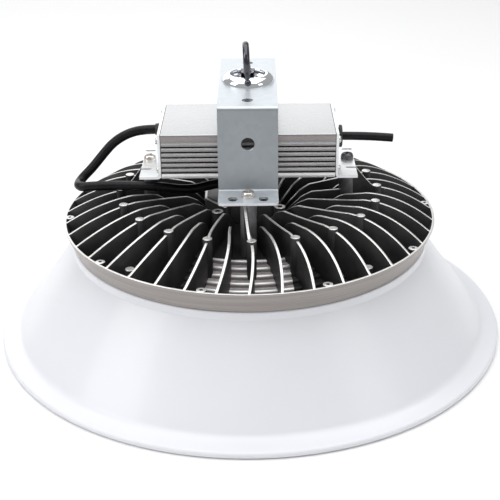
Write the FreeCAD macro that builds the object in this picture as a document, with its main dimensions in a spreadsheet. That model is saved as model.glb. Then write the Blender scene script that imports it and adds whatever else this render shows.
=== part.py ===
import FreeCAD, Part
import math
import os

from FreeCAD import Placement, Rotation, Vector

# High bay light: a finned die-cast heat sink over a white spun shade, with a driver
# between the legs of a folded hanging bracket.
# Frame: +Z up, the shade's rim rests on Z = 0, the axis is Z, millimetres.

# Driving dimensions: name, value, what it is.
SIZES = [
    ("rim_radius", 205.0, "outside of the shade's rolled rim"),
    ("bead_radius", 2.5, "section radius of the rolled rim"),
    ("shade_wall", 1.5, "sheet thickness of the shade"),
    ("crease_radius", 190.4, "where the cone turns out into the flange"),
    ("crease_height", 7.8, "height of that crease"),
    ("neck_radius", 142.5, "outside of the shade's upright neck"),
    ("neck_height", 6.0, "height of the neck"),
    ("shade_seat_inner", 122.0, "inner radius of the shade's top flange"),
    ("sink_base", 79.5, "underside of the heat sink"),
    ("sink_foot_radius", 141.4, "outside of the heat sink at its underside"),
    ("ring_radius", 148.5, "outside of the heat sink at its top ring"),
    ("ring_top", 97.0, "top of that ring"),
    ("ring_wall", 2.0, "thickness of the ring wall"),
    ("floor_web", 2.0, "thickness of the floor beside the ring"),
    ("step_outer_radius", 111.0, "first riser of the stepped floor"),
    ("step_tread", 6.0, "radial length of a tread"),
    ("step_riser", 2.4, "height of a riser"),
    ("step_count", 5, "number of risers"),
    ("hub_radius", 42.0, "drum that the fins run into"),
    ("hub_top", 113.5, "top of that drum"),
    ("fin_count", 20, "long fins, and as many short ones between them"),
    ("fin_wall", 2.1, "thickness of a fin"),
    ("fin_crest_radius", 93.5, "radius where a fin is highest"),
    ("fin_crest", 117.0, "height of the fins there"),
    ("fin_shoulder", 4.0, "how far a fin's outer slope bows up from a straight line"),
    ("fin_bow", 3.1, "sideways bow of a fin's outer half"),
    ("fin_sweep", 3.7, "sideways sweep of a fin at the hub"),
    ("fin_turn_radius", 90.0, "radius where the bow turns into the sweep"),
    ("short_fin_inner", 61.0, "inner end of a short fin"),
    ("short_fin_nose", 18.0, "length of its rounded nose"),
    ("pin_radius", 4.0, "cast pin on each long fin"),
    ("pin_circle", 102.7, "radius of the circle of those pins"),
    ("lug_count", 10, "round lugs on the ring wall"),
    ("lug_radius", 3.6, "radius of a lug"),
    ("lug_circle", 143.5, "radius of their circle"),
    ("lug_angle", -13.3, "angle of the first lug from the front"),
    ("lug_foot", 84.0, "lower end of a lug"),
    ("lug_dimple", 1.3, "radius of the dimple in a lug"),
    ("clamp_boss_radius", 3.5, "boss that takes a clamp screw"),
    ("clamp_circle", 133.5, "radius of the clamp screws"),
    ("clamp_angle", 40.5, "their angle from the front and from the back"),
    ("clamp_boss_top", 95.0, "top of a clamp boss"),
    ("clamp_hole", 2.2, "radius of the hole in it"),
    ("clamp_hole_depth", 11.0, "depth of that hole"),
    ("clamp_shank", 2.0, "radius of the clamp screws"),
    ("clamp_screw_length", 13.5, "length of their shanks"),
    ("clamp_head", 3.8, "radius of their heads"),
    ("clamp_head_height", 2.6, "height of their heads"),
    ("post_radius", 6.0, "posts that carry the bracket and the driver"),
    ("post_circle", 78.0, "radius of their circle"),
    ("post_top", 139.0, "top of the posts"),
    ("post_hole", 2.65, "radius of the threaded hole in a post"),
    ("post_hole_depth", 15.0, "depth of that hole"),
    ("rib_reach", 17.0, "how far a post's rib reaches out from the post's axis"),
    ("turret_face", -6.0, "x of the left face of the cable entry block on the hub"),
    ("turret_length", 24.0, "length of that block"),
    ("turret_width", 26.0, "the same, along Y"),
    ("turret_height", 18.0, "the same, upward"),
    ("entry_shift", 4.0, "how far the gland on that block sits before the middle"),
    ("wire_hole", 4.5, "radius of the wire hole through the hub"),
    ("board_radius", 98.0, "LED board"),
    ("board_thickness", 1.6, "LED board"),
    ("board_screw_circle", 88.0, "circle of the LED board's screws"),
    ("board_screw_count", 6, "LED board screws"),
    ("board_hole", 1.7, "radius of their holes"),
    ("board_shank", 1.5, "radius of their shanks"),
    ("board_screw_length", 7.5, "length of their shanks"),
    ("board_head", 2.8, "radius of their heads"),
    ("board_head_height", 1.5, "height of their heads"),
    ("board_hole_depth", 8.0, "depth of their holes in the heat sink"),
    ("chip_side", 3.4, "side of an LED package"),
    ("chip_height", 0.9, "height of an LED package"),
    ("chip_pitch", 15.6, "pitch of the LED rings"),
    ("chip_rings", 5, "number of LED rings"),
    ("chips_per_step", 6, "packages in the first ring, and how many each ring gains"),
    ("lens_radius", 112.0, "lens cover"),
    ("lens_thickness", 2.5, "lens cover"),
    ("lens_sag", 3.0, "how far the lens bulges down"),
    ("gasket_width", 6.0, "lens gasket"),
    ("gasket_height", 3.0, "lens gasket"),
    ("bezel_outer", 138.5, "clamp ring"),
    ("bezel_lip", 104.0, "inner edge of the clamp ring's lip"),
    ("bezel_wall", 3.0, "thickness of the clamp ring"),
    ("bezel_gap", 1.0, "room around the lens"),
    ("bracket_width", 44.0, "hanging bracket"),
    ("bracket_sheet", 2.0, "its sheet thickness"),
    ("bracket_depth", 130.8, "outside of its legs"),
    ("bracket_top", 205.0, "its highest face"),
    ("bracket_foot", 25.2, "how far a foot stands out from its leg"),
    ("bracket_bend", 1.3, "inside radius of its bends"),
    ("foot_corner", 3.0, "rounded corners of a foot"),
    ("foot_slot_radius", 3.25, "spare holes in a foot"),
    ("foot_slot_spread", 11.2, "their distance from the middle"),
    ("foot_slot_shift", 4.5, "how far they lie beyond the foot screw"),
    ("leg_hole_radius", 5.0, "hole in a leg"),
    ("leg_hole_height", 176.8, "height of that hole"),
    ("top_hole_radius", 4.1, "spare holes in the bracket's top"),
    ("top_hole_shift", 49.0, "their distance from the middle"),
    ("bolt_hole_radius", 3.4, "hole for the hook bolt"),
    ("screw_shank", 2.5, "radius of the screws that go into the posts"),
    ("screw_length", 13.0, "length of their shanks"),
    ("screw_head", 5.0, "radius of their heads"),
    ("screw_head_height", 3.6, "height of their heads"),
    ("cup_radius", 20.3, "dome under the hook, at its base"),
    ("cup_mouth", 13.6, "its open top"),
    ("cup_height", 6.0, "its height"),
    ("cup_wall", 1.0, "its wall"),
    ("hook_rod", 2.5, "radius of the hook's rod"),
    ("hook_bow", 12.0, "radius of the hook's bow, to the rod's middle"),
    ("hook_spring", 224.0, "height where the bow springs from the shank"),
    ("hook_drop", 12.0, "straight length from the bow down to the tip"),
    ("hook_turn", 8.0, "turn of the hook about its shank"),
    ("hook_end", 190.0, "lower end of the shank"),
    ("thread_top", 217.0, "upper end of the hook's thread"),
    ("nut_flat", 5.0, "half of a nut's width across flats"),
    ("nut_height", 5.0, "hook nuts"),
    ("washer_radius", 7.5, "hook washers"),
    ("washer_height", 1.2, "hook washers"),
    ("case_length", 132.0, "driver case without its end plates"),
    ("case_depth", 75.0, "driver case"),
    ("case_height", 35.5, "driver case"),
    ("case_wall", 3.2, "driver case"),
    ("case_lip", 4.2, "plain band below the case's ribs"),
    ("case_brow", 2.6, "plain band above the case's ribs"),
    ("case_rib_count", 7, "grooves on each long face"),
    ("case_groove", 1.3, "depth of a groove"),
    ("seal_thickness", 0.5, "gasket behind an end plate"),
    ("plate_thickness", 2.0, "end plates"),
    ("ear_reach", 14.8, "how far an ear stands out from its plate"),
    ("ear_slot_width", 3.2, "open slots in an ear"),
    ("ear_slot_depth", 8.5, "length of those slots"),
    ("ear_slot_shift", 20.5, "their distance from the middle"),
    ("plate_screw_inset", 4.2, "end plate screws, from the case's long faces"),
    ("plate_screw_rise", 5.9, "end plate screws, from the case's top and underside"),
    ("plate_screw_head", 2.9, "radius of their heads"),
    ("plate_screw_shank", 1.5, "radius of their shanks"),
    ("plate_screw_head_height", 1.9, "height of their heads"),
    ("plate_screw_length", 9.0, "length of their shanks"),
    ("plate_screw_hole", 1.7, "radius of their holes"),
    ("case_boss", 8.4, "solid corners of the case that take these screws"),
    ("potting_height", 14.0, "depth of the driver's potting"),
    ("driver_board_thickness", 1.6, "the driver's circuit board"),
    ("coil_length", 34.0, "the transformer on that board"),
    ("coil_width", 28.0, "the transformer on that board"),
    ("coil_height", 10.0, "the transformer on that board"),
    ("gland_height", 159.5, "height of the driver's cable glands"),
    ("output_shift", 19.5, "how far the left gland sits behind the middle"),
    ("gland_hole", 5.6, "radius of the hole for a gland in an end plate"),
    ("gland_neck", 6.6, "radius of a gland's neck"),
    ("gland_neck_length", 2.6, "length of that neck"),
    ("gland_disc", 8.8, "radius of its disc"),
    ("gland_disc_width", 2.4, "thickness of that disc"),
    ("supply_radius", 3.3, "supply cable"),
    ("output_radius", 3.8, "cable from the driver to the heat sink"),
]

doc = FreeCAD.newDocument("HighBayLight")
sheet = doc.addObject("Spreadsheet::Sheet", "Sizes")
for row, (alias, value, note) in enumerate(SIZES, start=1):
    sheet.set(f"A{row}", str(value))
    sheet.setAlias(f"A{row}", alias)
    sheet.set(f"B{row}", note)
doc.recompute()


class Cells:
    """Reads the spreadsheet's named cells as numbers."""

    def __getattr__(self, alias):
        return float(sheet.get(alias))


size = Cells()


# ---------------------------------------------------------------- helpers

def new_body(label):
    """An empty body whose label names its file."""
    body = doc.addObject("PartDesign::Body", label)
    body.Label = label
    return body


def origin_feature(body, role):
    return next(item for item in body.Origin.OriginFeatures if item.Role == role)


def new_sketch(body, plane, offset=0.0):
    """A sketch on one of the body's own planes, moved along the plane's normal."""
    sketch = body.newObject("Sketcher::SketchObject", "Sketch")
    sketch.AttachmentSupport = (origin_feature(body, plane), [""])
    sketch.MapMode = "FlatFace"
    sketch.AttachmentOffset = Placement(Vector(0, 0, offset), Rotation())
    return sketch


def corner_arc(before, corner, after, radius):
    """Tangent points and middle of the arc that rounds a corner."""
    to_before = (before - corner).normalize()
    to_after = (after - corner).normalize()
    half = to_before.getAngle(to_after) / 2
    run = radius / math.tan(half)
    bisector = (to_before + to_after).normalize()
    centre = corner + bisector * (radius / math.sin(half))
    return (corner + to_before * run, centre - bisector * radius, corner + to_after * run)


def closed_outline(sketch, corners):
    """Adds a closed outline; a corner is (x, y) or (x, y, radius of its rounding)."""
    points = [Vector(corner[0], corner[1], 0) for corner in corners]
    radii = [corner[2] if len(corner) > 2 else 0.0 for corner in corners]
    count = len(points)
    stretches = []
    for index, (point, radius) in enumerate(zip(points, radii)):
        if radius > 0:
            stretches.append(corner_arc(points[index - 1], point, points[(index + 1) % count], radius))
        else:
            stretches.append((point, None, point))
    edges = []
    for index, (start, middle, end) in enumerate(stretches):
        if middle is not None:
            edges.append(Part.Arc(start, middle, end))
        following = stretches[(index + 1) % count][0]
        if (following - end).Length > 1e-6:
            edges.append(Part.LineSegment(end, following))
    sketch.addGeometry(edges, False)


def add_circle(sketch, x, y, radius):
    sketch.addGeometry(Part.Circle(Vector(x, y, 0), Vector(0, 0, 1), radius), False)


def offset_path(points, distance):
    """Open path moved sideways by a distance, to the left of its direction, with mitred corners."""
    moved = []
    for index, point in enumerate(points):
        sides = []
        if index > 0:
            sides.append((point - points[index - 1]).normalize())
        if index < len(points) - 1:
            sides.append((points[index + 1] - point).normalize())
        normals = [Vector(-side.y, side.x, 0) for side in sides]
        mitre = sum(normals[1:], normals[0]).normalize()
        moved.append(point + mitre * (distance / mitre.dot(normals[0])))
    return moved


def sheet_outline(path, wall, bend):
    """Closed outline of a bent sheet; the path is its right-hand face, rounded at each bend."""
    right = [Vector(x, y, 0) for x, y in path]
    left = offset_path(right, wall)
    last = len(right) - 1
    right_side, left_side = [], []
    for index, (point, partner) in enumerate(zip(right, left)):
        near, far = 0.0, 0.0
        if 0 < index < last:
            turn = (point - right[index - 1]).cross(right[index + 1] - point).z
            near, far = (bend + wall, bend) if turn > 0 else (bend, bend + wall)
        right_side.append((point.x, point.y, near))
        left_side.append((partner.x, partner.y, far))
    return right_side + left_side[::-1]


def add_feature(body, kind, sketch, **values):
    """A feature on a sketch; a text value is bound as an expression."""
    feature = body.newObject(f"PartDesign::{kind}", kind)
    feature.Profile = sketch
    for name, value in values.items():
        if isinstance(value, str) and name != "SideType":
            feature.setExpression(name, value)
        else:
            setattr(feature, name, value)
    sketch.Visibility = False
    return feature


def pad(body, sketch, length, **values):
    return add_feature(body, "Pad", sketch, Length=length, **values)


def pocket(body, sketch, length, **values):
    return add_feature(body, "Pocket", sketch, Length=length, **values)


def pocket_through(body, sketch, length):
    """Cuts both ways from the sketch's plane."""
    return pocket(body, sketch, length, SideType="Symmetric")


def revolve(body, sketch, kind="Revolution"):
    """Full turn about the sketch's upright axis."""
    feature = add_feature(body, kind, sketch, Angle=360.0)
    feature.ReferenceAxis = (sketch, ["V_Axis"])
    return feature


def around(body, feature, count):
    """Repeats a feature evenly about the body's Z axis."""
    pattern = body.newObject("PartDesign::PolarPattern", "Around")
    pattern.Originals = [feature]
    pattern.Axis = (origin_feature(body, "Z_Axis"), [""])
    pattern.Angle = 360.0
    body.Tip = pattern
    if isinstance(count, str):
        pattern.setExpression("Occurrences", count)
    else:
        pattern.Occurrences = count
    return pattern


def place(part, x=None, y=None, z=None, turn=None):
    """Binds a sub-part's place; turn is a fixed Rotation."""
    if turn is not None:
        part.Placement = Placement(Vector(), turn)
    for axis, expression in (("x", x), ("y", y), ("z", z)):
        if expression is not None:
            part.setExpression(f"Placement.Base.{axis}", expression)


def polar(radius, angle):
    """Point of the plan at an angle from the front, counted towards +X."""
    return radius * math.sin(math.radians(angle)), -radius * math.cos(math.radians(angle))


UP = Rotation()
TO_RIGHT = Rotation(Vector(0, 1, 0), 90)
TO_LEFT = Rotation(Vector(0, 1, 0), -90)
HALF_TURN = Rotation(Vector(0, 0, 1), 180)
DOWN = Rotation(Vector(1, 0, 0), 180)


# ---------------------------------------------------------------- heat sink

def rise(height):
    """Height above the heat sink's underside."""
    return height - size.sink_base


def fin_offset(radius):
    """Sideways place of a fin's middle: it bows one way outside and sweeps the other way inside."""
    if radius >= size.fin_turn_radius:
        half = (size.ring_radius - size.fin_turn_radius) / 2
        return size.fin_bow * (1 - ((radius - size.fin_turn_radius - half) / half) ** 2)
    inward = (radius - size.hub_radius) / (size.fin_turn_radius - size.hub_radius)
    return -size.fin_sweep * (1 - inward ** 2)


def fin_outline(sketch, inner):
    """Plan of a fin from an inner radius to the ring wall, two arcs on each side."""
    outer = size.ring_radius - size.ring_wall / 2
    turn = size.fin_turn_radius

    def side(start, end, shift):
        radii = (start, (start + end) / 2, end)
        return Part.Arc(*[Vector(fin_offset(radius) + shift, -radius, 0) for radius in radii])

    half = size.fin_wall / 2
    edges = [side(outer, turn, half), side(turn, inner, half)]
    edges.append(Part.LineSegment(edges[-1].EndPoint, Vector(fin_offset(inner) - half, -inner, 0)))
    edges += [side(inner, turn, -half), side(turn, outer, -half)]
    edges.append(Part.LineSegment(edges[-1].EndPoint, edges[0].StartPoint))
    sketch.addGeometry(edges, False)


def fin_sketch(body, inner, turn):
    sketch = new_sketch(body, "XY_Plane", size.floor_web / 2)
    sketch.AttachmentOffset = Placement(Vector(0, 0, size.floor_web / 2),
                                        Rotation(Vector(0, 0, 1), turn))
    fin_outline(sketch, inner)
    return sketch


def sink_base_outline():
    """Half section of the casting without its fins: hub drum, stepped floor and ring wall."""
    lean = (size.ring_radius - size.sink_foot_radius) / rise(size.ring_top)
    wall_top = rise(size.ring_top) + 1
    points = [(0, 0), (size.ring_radius, 0), (size.ring_radius, wall_top)]
    points += [(size.sink_foot_radius + lean * height - size.ring_wall, height)
               for height in (wall_top, size.floor_web)]
    radius, height = size.step_outer_radius, size.floor_web
    for _ in range(int(size.step_count)):
        points += [(radius, height), (radius, height + size.step_riser)]
        radius, height = radius - size.step_tread, height + size.step_riser
    points += [(size.hub_radius, height), (size.hub_radius, rise(size.hub_top)), (0, rise(size.hub_top))]
    return points


def upper_floor():
    return size.floor_web + size.step_count * size.step_riser


def nose_outline(sketch):
    """Corner above the rounded inner ends of the short fins."""
    low, high = upper_floor() + 0.5, rise(size.fin_crest) + 3
    inner = size.short_fin_inner - 0.5
    outer = inner + size.short_fin_nose
    crest = rise(size.fin_crest) - 0.4
    middle = Vector(inner + 0.29 * size.short_fin_nose, low + 0.62 * (crest - low), 0)
    start, end = Vector(inner, low, 0), Vector(outer, crest, 0)
    corners = [end, Vector(outer, high, 0), Vector(inner - 4, high, 0), Vector(inner - 4, low, 0), start]
    edges = [Part.Arc(start, middle, end)]
    edges += [Part.LineSegment(a, b) for a, b in zip(corners, corners[1:])]
    sketch.addGeometry(edges, False)


def trim_outline(sketch):
    """Everything above the fins' arched tops and outside the ring's leaning wall."""
    high = rise(size.post_top)
    wide = size.ring_radius + 10
    ring = Vector(size.ring_radius - size.ring_wall, rise(size.ring_top), 0)
    crest = Vector(size.fin_crest_radius, rise(size.fin_crest), 0)
    shoulder = (ring + crest) * 0.5 + Vector(0, size.fin_shoulder, 0)
    hub = Vector(size.hub_radius - 1.5, rise(size.hub_top), 0)
    corners = [ring, Vector(size.ring_radius, ring.y, 0), Vector(size.sink_foot_radius, 0, 0),
               Vector(wide, 0, 0), Vector(wide, high, 0), Vector(hub.x, high, 0), hub, crest]
    edges = [Part.Arc(crest, shoulder, ring)]
    edges += [Part.LineSegment(a, b) for a, b in zip(corners, corners[1:])]
    sketch.addGeometry(edges, False)


def build_heat_sink():
    body = new_body("heat_sink")
    base = new_sketch(body, "XZ_Plane")
    closed_outline(base, sink_base_outline())
    revolve(body, base)

    fin_height = "Sizes.fin_crest - Sizes.sink_base"
    short = pad(body, fin_sketch(body, size.short_fin_inner, 180 / size.fin_count), fin_height)
    around(body, short, "Sizes.fin_count")
    nose = new_sketch(body, "XZ_Plane")
    nose_outline(nose)
    revolve(body, nose, "Groove")
    long = pad(body, fin_sketch(body, size.hub_radius - 1, 0), fin_height)
    around(body, long, "Sizes.fin_count")

    lugs = new_sketch(body, "XY_Plane", rise(size.lug_foot))
    add_circle(lugs, *polar(size.lug_circle, size.lug_angle), size.lug_radius)
    around(body, pad(body, lugs, "Sizes.ring_top - Sizes.lug_foot"), "Sizes.lug_count")
    trim = new_sketch(body, "XZ_Plane")
    trim_outline(trim)
    revolve(body, trim, "Groove")

    pins = new_sketch(body, "XY_Plane", size.floor_web / 2)
    add_circle(pins, *polar(size.pin_circle, 0), size.pin_radius)
    around(body, pad(body, pins, "Sizes.fin_crest + 0.2 - Sizes.sink_base - Sizes.floor_web / 2"),
           "Sizes.fin_count")
    for side in (1, -1):
        boss = new_sketch(body, "XY_Plane", size.floor_web / 2)
        add_circle(boss, *polar(size.clamp_circle, side * size.clamp_angle), size.clamp_boss_radius)
        add = pad(body, boss, "Sizes.clamp_boss_top - Sizes.sink_base - Sizes.floor_web / 2")
        around(body, add, 2)

    post = new_sketch(body, "XY_Plane", size.floor_web)
    add_circle(post, *polar(size.post_circle, 0), size.post_radius)
    around(body, pad(body, post, "Sizes.post_top - Sizes.sink_base - Sizes.floor_web"), 4)
    rib = new_sketch(body, "YZ_Plane")
    foot, shelf = size.post_circle + size.rib_reach, rise(size.post_top) - 1.5
    edge = size.post_circle + size.post_radius - 0.5
    closed_outline(rib, [(-foot, rise(size.fin_crest) - 4), (-foot, rise(size.fin_crest)),
                         (-edge, shelf), (-size.post_circle, shelf),
                         (-size.post_circle, rise(size.fin_crest) - 4)])
    around(body, pad(body, rib, "Sizes.fin_wall", SideType="Symmetric"), 4)

    turret = new_sketch(body, "XY_Plane", rise(size.hub_top) - 1)
    half = size.turret_width / 2
    left, right = size.turret_face, size.turret_face + size.turret_length
    closed_outline(turret, [(left, -half, 3), (right, -half, 3), (right, half, 3), (left, half, 3)])
    pad(body, turret, "Sizes.turret_height + 1")
    cut_sink_holes(body)
    place(body, z="Sizes.sink_base")
    return body


def cut_sink_holes(body):
    for circle, radius, angle, count, depth in (
            (size.clamp_circle, size.clamp_hole, size.clamp_angle, 2, "Sizes.clamp_hole_depth"),
            (size.clamp_circle, size.clamp_hole, -size.clamp_angle, 2, "Sizes.clamp_hole_depth"),
            (size.board_screw_circle, size.board_hole, 0, "Sizes.board_screw_count",
             "Sizes.board_hole_depth")):
        hole = new_sketch(body, "XY_Plane")
        add_circle(hole, *polar(circle, angle), radius)
        around(body, pocket(body, hole, depth, Reversed=True), count)
    wire = new_sketch(body, "XY_Plane")
    add_circle(wire, 0, 0, size.wire_hole)
    pocket(body, wire, "Sizes.hub_top - Sizes.sink_base + Sizes.turret_height / 2", Reversed=True)
    entry = new_sketch(body, "YZ_Plane", size.turret_face)
    add_circle(entry, -size.entry_shift, rise(size.hub_top) + size.turret_height / 2, size.wire_hole)
    pocket(body, entry, "-Sizes.turret_face", Reversed=True)
    tapped = new_sketch(body, "XY_Plane", rise(size.post_top))
    add_circle(tapped, *polar(size.post_circle, 0), size.post_hole)
    around(body, pocket(body, tapped, "Sizes.post_hole_depth"), 4)
    dimple = new_sketch(body, "XY_Plane", rise(size.ring_top))
    add_circle(dimple, *polar(size.lug_circle, size.lug_angle), size.lug_dimple)
    around(body, pocket(body, dimple, "Sizes.lug_dimple"), "Sizes.lug_count")


# ---------------------------------------------------------------- shade and light engine

def clamp_holes(sketch):
    """The four clamp screw holes, as circles of a sketch."""
    for angle in (size.clamp_angle, -size.clamp_angle, 180 - size.clamp_angle, size.clamp_angle - 180):
        add_circle(sketch, *polar(size.clamp_circle, angle), size.clamp_hole)


def build_shade():
    """Spun sheet: seat flange, neck, cone, turned-out flange and a rolled rim."""
    body = new_body("shade")
    path = [(size.rim_radius - size.bead_radius, 2 * size.bead_radius - size.sink_base),
            (size.crease_radius, rise(size.crease_height)), (size.neck_radius, -size.neck_height),
            (size.neck_radius, 0), (size.shade_seat_inner, 0)]
    sheet_corners = sheet_outline(path, size.shade_wall, 0.8)
    crease, lip = sheet_corners[-2], sheet_corners[-1]
    roll = size.rim_radius - 2 * size.bead_radius
    under = lip[1] + (lip[0] - roll) * (crease[1] - lip[1]) / (lip[0] - crease[0])
    bead = 0.96 * size.bead_radius
    shell = new_sketch(body, "XZ_Plane")
    closed_outline(shell, sheet_corners[:-1] + [
        (roll, under), (roll, -size.sink_base, bead), (size.rim_radius, -size.sink_base, bead),
        (size.rim_radius, 2 * size.bead_radius - size.sink_base, bead)])
    revolve(body, shell)
    holes = new_sketch(body, "XY_Plane")
    clamp_holes(holes)
    pocket(body, holes, "2 * Sizes.shade_wall")
    place(body, z="Sizes.sink_base")
    return body


def build_bezel():
    """Clamp ring that holds the shade's seat and the lens."""
    body = new_body("bezel_ring")
    lens = size.shade_wall - size.gasket_height - size.lens_thickness
    pocket_wall = size.lens_radius + size.bezel_gap
    outer_wall = pocket_wall + size.bezel_wall
    section = new_sketch(body, "XZ_Plane")
    closed_outline(section, [
        (size.bezel_lip, lens), (pocket_wall, lens), (pocket_wall, 0), (size.bezel_outer, 0),
        (size.bezel_outer, -size.bezel_wall, 1), (outer_wall, -size.bezel_wall, 1),
        (outer_wall, lens - size.bezel_wall, 1), (size.bezel_lip, lens - size.bezel_wall)])
    revolve(body, section)
    holes = new_sketch(body, "XY_Plane")
    clamp_holes(holes)
    pocket(body, holes, "2 * Sizes.bezel_wall")
    place(body, z="Sizes.sink_base - Sizes.shade_wall")
    return body


def build_led_board():
    body = new_body("led_board")
    outline = new_sketch(body, "XY_Plane")
    add_circle(outline, 0, 0, size.board_radius)
    add_circle(outline, 0, 0, size.wire_hole)
    for index in range(int(size.board_screw_count)):
        angle = index * 360 / size.board_screw_count
        add_circle(outline, *polar(size.board_screw_circle, angle), size.board_hole)
    pad(body, outline, "Sizes.board_thickness")
    place(body, z="Sizes.sink_base - Sizes.board_thickness")
    return body


def build_led_chips():
    """Rings of square LED packages on the board's underside."""
    body = new_body("led_chips")
    body.AllowCompound = True
    outline = new_sketch(body, "XY_Plane")
    half = size.chip_side / 2
    for ring in range(1, int(size.chip_rings) + 1):
        count = int(size.chips_per_step) * ring
        for index in range(count):
            x, y = polar(ring * size.chip_pitch, (index + 0.5) * 360 / count)
            closed_outline(outline, [(x - half, y - half), (x + half, y - half),
                                     (x + half, y + half), (x - half, y + half)])
    pad(body, outline, "Sizes.chip_height")
    place(body, z="Sizes.sink_base - Sizes.board_thickness - Sizes.chip_height")
    return body


def build_lens():
    """Clear cover: a flat rim and a slightly bulging middle."""
    body = new_body("lens_cover")
    section = new_sketch(body, "XZ_Plane")
    flat = size.bezel_lip - 1
    radius = (flat ** 2 + size.lens_sag ** 2) / (2 * size.lens_sag)
    down = Vector(0, -size.lens_thickness, 0)
    edge = Vector(size.lens_radius, 0, 0)
    arcs = []
    for shift in (Vector(), down):
        circle = Part.Circle(Vector(0, radius - size.lens_sag, 0) + shift, Vector(0, 0, 1), radius)
        arcs.append(Part.ArcOfCircle(circle, -math.pi / 2, math.asin(flat / radius) - math.pi / 2))
    above, below = arcs
    section.addGeometry([
        above, Part.LineSegment(above.EndPoint, edge), Part.LineSegment(edge, edge + down),
        Part.LineSegment(edge + down, below.EndPoint), below,
        Part.LineSegment(below.StartPoint, above.StartPoint)], False)
    revolve(body, section)
    place(body, z="Sizes.sink_base - Sizes.gasket_height")
    return body


def build_lens_gasket():
    body = new_body("lens_gasket")
    outline = new_sketch(body, "XY_Plane")
    add_circle(outline, 0, 0, size.lens_radius)
    add_circle(outline, 0, 0, size.lens_radius - size.gasket_width)
    pad(body, outline, "Sizes.gasket_height")
    place(body, z="Sizes.sink_base - Sizes.gasket_height")
    return body


# ---------------------------------------------------------------- screws, nuts and washers

def cross_outline(reach):
    """Plan of a cross recess, one arm at a time."""
    arm = reach / 3.2
    corners = [(arm, reach), (-arm, reach), (-arm, arm)]
    outline = []
    for _ in range(4):
        outline += corners
        corners = [(-y, x) for x, y in corners]
    return outline


def new_screw(label, head, height, shank, length):
    """A pan-head screw with a cross recess, its seat at z = 0 and its shank down."""
    body = new_body(label)
    section = new_sketch(body, "XZ_Plane")
    closed_outline(section, [(0, -length), (shank * 0.6, -length), (shank, -length + shank * 0.5),
                             (shank, 0), (head, 0), (head, height, 0.6 * height), (0, height)])
    revolve(body, section)
    recess = new_sketch(body, "XY_Plane", height)
    closed_outline(recess, cross_outline(0.52 * head))
    pocket(body, recess, 0.6 * height)
    return body


def screw_group(label, pattern, placements):
    """Several copies of one screw as separate solids of one sub-part."""
    doc.recompute()
    group = doc.addObject("Part::Feature", label)
    group.Label = label
    group.Shape = Part.makeCompound([pattern.Shape.transformed(spot.toMatrix()) for spot in placements])
    return group


def build_clamp_screws():
    screw = new_screw("clamp_screw_pattern", size.clamp_head, size.clamp_head_height,
                      size.clamp_shank, size.clamp_screw_length)
    spots = [Placement(Vector(*polar(size.clamp_circle, angle), 0), DOWN)
             for angle in (size.clamp_angle, -size.clamp_angle,
                           180 - size.clamp_angle, size.clamp_angle - 180)]
    group = screw_group("clamp_screws", screw, spots)
    place(group, z="Sizes.sink_base - Sizes.shade_wall - Sizes.bezel_wall")
    return group


def build_board_screws():
    screw = new_screw("board_screw_pattern", size.board_head, size.board_head_height,
                      size.board_shank, size.board_screw_length)
    count = int(size.board_screw_count)
    spots = [Placement(Vector(*polar(size.board_screw_circle, index * 360 / count), 0), DOWN)
             for index in range(count)]
    group = screw_group("led_board_screws", screw, spots)
    place(group, z="Sizes.sink_base - Sizes.board_thickness")
    return group


def build_plate_screws(side):
    """Four screws that hold an end plate; side is 1 for the right and -1 for the left."""
    name = "right" if side > 0 else "left"
    screw = new_screw(f"plate_screw_pattern_{name}", size.plate_screw_head,
                      size.plate_screw_head_height, size.plate_screw_shank, size.plate_screw_length)
    turn = TO_RIGHT if side > 0 else TO_LEFT
    spots = [Placement(Vector(0, y, z), turn) for y, z in plate_screw_spots()]
    group = screw_group(f"end_plate_screws_{name}", screw, spots)
    place(group, x=f"{side} * (Sizes.case_length / 2 + Sizes.seal_thickness + Sizes.plate_thickness)",
          z="Sizes.post_top")
    return group


def plate_screw_spots():
    """Y and height above the case's underside of the end plate screws."""
    reach = size.case_depth / 2 - size.plate_screw_inset
    return [(y, z) for y in (-reach, reach)
            for z in (size.plate_screw_rise, size.case_height - size.plate_screw_rise)]


def build_post_screws():
    """The bracket's two screws and the driver's two ear screws, all into the posts."""
    for label, angle, seat in (("bracket_screw_front", 0, "Sizes.bracket_sheet"),
                               ("bracket_screw_rear", 180, "Sizes.bracket_sheet"),
                               ("ear_screw_right", 90, "Sizes.plate_thickness"),
                               ("ear_screw_left", -90, "Sizes.plate_thickness")):
        screw = new_screw(label, size.screw_head, size.screw_head_height,
                          size.screw_shank, size.screw_length)
        turn_x, turn_y = polar(1, angle)
        place(screw, x=f"{round(turn_x)} * Sizes.post_circle", y=f"{round(turn_y)} * Sizes.post_circle",
              z=f"Sizes.post_top + {seat}")
        SUB_PARTS.append(screw)


def new_nut(label, z):
    body = new_body(label)
    outline = new_sketch(body, "XY_Plane")
    corner = size.nut_flat / math.cos(math.radians(30))
    closed_outline(outline, [polar(corner, 60 * index) for index in range(6)])
    add_circle(outline, 0, 0, size.bolt_hole_radius - 0.3)
    pad(body, outline, "Sizes.nut_height")
    crown = new_sketch(body, "XZ_Plane")
    closed_outline(crown, [(corner + 1, size.nut_height), (size.nut_flat, size.nut_height),
                           (corner + 1, size.nut_height - (corner + 1 - size.nut_flat) / 2)])
    revolve(body, crown, "Groove")
    place(body, z=z)
    SUB_PARTS.append(body)


def new_washer(label, z):
    body = new_body(label)
    outline = new_sketch(body, "XY_Plane")
    add_circle(outline, 0, 0, size.washer_radius)
    add_circle(outline, 0, 0, size.bolt_hole_radius)
    pad(body, outline, "Sizes.washer_height")
    place(body, z=z)
    SUB_PARTS.append(body)


# ---------------------------------------------------------------- bracket and hook

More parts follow.
